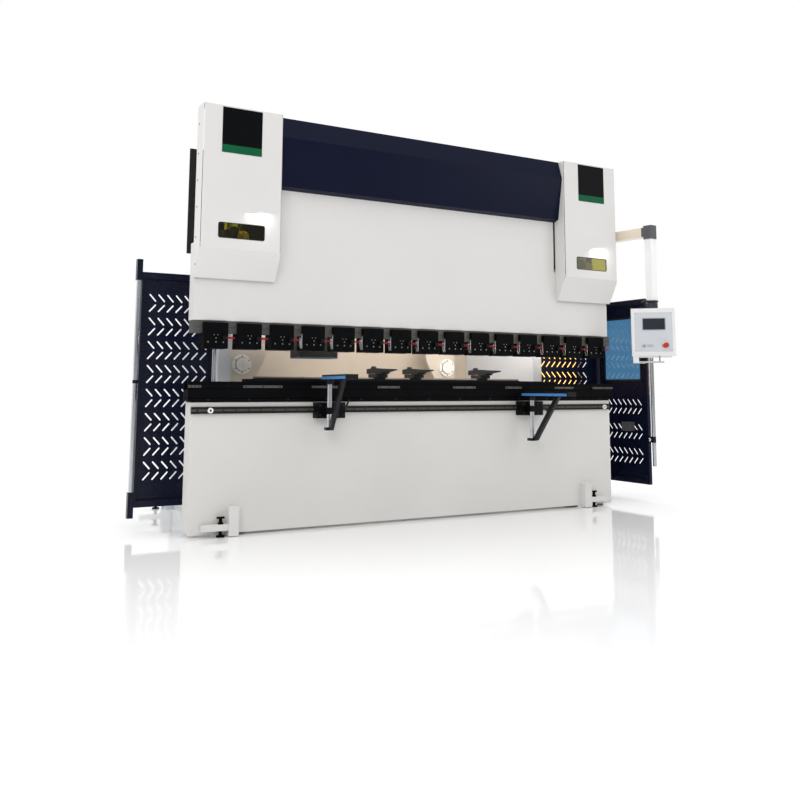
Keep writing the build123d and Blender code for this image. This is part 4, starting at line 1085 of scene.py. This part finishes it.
class BRAKE_OT_power_parts(Operator):
    """Adds the motor fins, pipes, tank fittings and cylinder bolts"""
    bl_idname = "brake.power_parts"
    bl_label = "Power Pack Parts"

    def execute(self, context):
        enamel = finish("motor_enamel", ("#3D5366", 0.1, 0.4), mottle=(60.0, 0.1), grain=(4.0, 0.1))
        fin = bmesh.new()
        lathe(fin, [(129, 0), (147, 0), (147, 3), (129, 3)], at(-146, 700, 1840), (1, 0, 0), steps=32)
        rows("motor_fins", fin, enamel, "machine", "dark_paint", 26, (14, 0, 0))
        cowl = bmesh.new()
        dished = [(0, -26), (60, -26), (66, -24), (72, -26), (110, -26), (116, -24), (122, -26),
                  (138, -22), (146, -8), (146, 4), (129, 4)]
        lathe(cowl, dished, at(-160, 700, 1840), (1, 0, 0), steps=32)
        bring("motor_cowl", cowl, [enamel], "machine")

        # Drawn steel pipe, zinc plated: thin, smooth and bright
        pipe = finish("zinc_plated_pipe", ("#A9AAA6", 1.0, 0.3), mottle=(60.0, 0.06), grain=(3.0, 0.01))
        for side, name in ((-1, "left"), (1, "right")):
            points = [at(side * 960, 580, 2230), at(side * 1030, 580, 2230), at(side * 1030, 300, 2230),
                      at(side * 1030, 300, 2350), at(side * 1212, 300, 2350)]
            tube(f"pressure_pipe_{name}", points, 9, pipe, "machine", corner=40)
        # Filler cap and oil level glass of the tank
        nylon = finish("moulded_filler_cap", ("#1B1C1F", 0.0, 0.45), mottle=(15.0, 0.1), grain=(1.5, 0.04))
        fittings = bmesh.new()
        cap = [(45, 0), (50, 0), (52, 3), (52, 14), (48, 18), (0, 19)]
        lathe(fittings, cap, at(-700, 480, 2494), (0, 0, 1))
        block(fittings, (-40, 860, 2120), (0, 872, 2330), bevel=3)
        bring("tank_fittings", fittings, [nylon], "machine")
        plated = plated_steel("zinc_plated_hex_heads", "#8F8F8D", 0.32)
        spots = [(x, depth, 2492, "up") for x in range(-870, 871, 174) for depth in (316, 844)]
        screws("tank_lid_bolts", spots, plated, "machine", radius=8, height=6, sides=6,
               socket=0)
        spots = []
        for side in (-1, 1):
            for turn in range(8):
                angle = math.radians(45 * turn + 22.5)
                x = side * CYLINDER_X + 96 * math.cos(angle)
                spots.append((x, 45 + 96 * math.sin(angle), 2440, "up"))
        screws("cylinder_bolts", spots, plated, "machine", radius=12, height=10)
        return {"FINISHED"}


class BRAKE_OT_cabinet_parts(Operator):
    """Adds the louvres of the electrical cabinet and its door"""
    bl_idname = "brake.cabinet_parts"
    bl_label = "Cabinet Parts"

    def execute(self, context):
        sheet = finish("pressed_sheet_louvres", ("#BFBDBA", 0.0, 0.55), mottle=(120.0, 0.04),
                       grain=(4.0, 0.1))
        louvre = bmesh.new()
        sideways = Euler((math.pi / 2, 0, math.pi / 2)).to_matrix().to_4x4()
        plate(louvre, [(0, 0), (0, 14), (-8, 4)], 150,
              Matrix.Translation(at(1425, 1239.5, 420)) @ sideways @ Matrix.Scale(-1, 4, (1, 0, 0)))
        rows("cabinet_louvres", louvre, sheet, "machine", "beige_paint", 10, (0, 0, 24), 2, (230, 0, 1000))
        door = bmesh.new()
        plate(door, [(0, 0), (0, 14), (8, 4)], 160,
              Matrix.Translation(at(1900, 980, 420)) @ Matrix.Rotation(math.pi / 2, 4, "X"))
        rows("door_louvres", door, sheet, "cabinet_door", "beige_paint", 10, (0, 0, 24), 2, (0, 0, 1000))
        return {"FINISHED"}


class BRAKE_PT_panel(Panel):
    """Lists the parts of the press brake"""
    bl_idname = "BRAKE_PT_panel"
    bl_label = "Press Brake"
    bl_space_type = "VIEW_3D"
    bl_region_type = "UI"
    bl_category = "Press Brake"

    def draw(self, context):
        for group in (context.scene.brake_sizes, context.scene.brake_colours):
            for name in group.__annotations__:
                self.layout.prop(group, name)
        for operator in OPERATORS:
            self.layout.operator(operator.bl_idname)


OPERATORS = (BRAKE_OT_stage, BRAKE_OT_body_finish, BRAKE_OT_tooling_finish, BRAKE_OT_support_finish,
             BRAKE_OT_guard_finish, BRAKE_OT_rear_finish, BRAKE_OT_pendant_finish, BRAKE_OT_cover_parts,
             BRAKE_OT_clamp_parts, BRAKE_OT_die_parts, BRAKE_OT_support_parts, BRAKE_OT_guard_parts,
             BRAKE_OT_pendant_parts, BRAKE_OT_gauge_parts, BRAKE_OT_power_parts, BRAKE_OT_cabinet_parts)
CLASSES = (BrakeSizes, BrakeColours, *OPERATORS, BRAKE_PT_panel)


def register():
    for item in CLASSES:
        bpy.utils.register_class(item)
    bpy.types.Scene.brake_sizes = PointerProperty(type=BrakeSizes)
    bpy.types.Scene.brake_colours = PointerProperty(type=BrakeColours)


def unregister():
    del bpy.types.Scene.brake_colours
    del bpy.types.Scene.brake_sizes
    for item in reversed(CLASSES):
        bpy.utils.unregister_class(item)


def main():
    register()
    for operator in OPERATORS:
        group, name = operator.bl_idname.split(".")
        getattr(getattr(bpy.ops, group), name)()


if __name__ == "__main__":
    main()
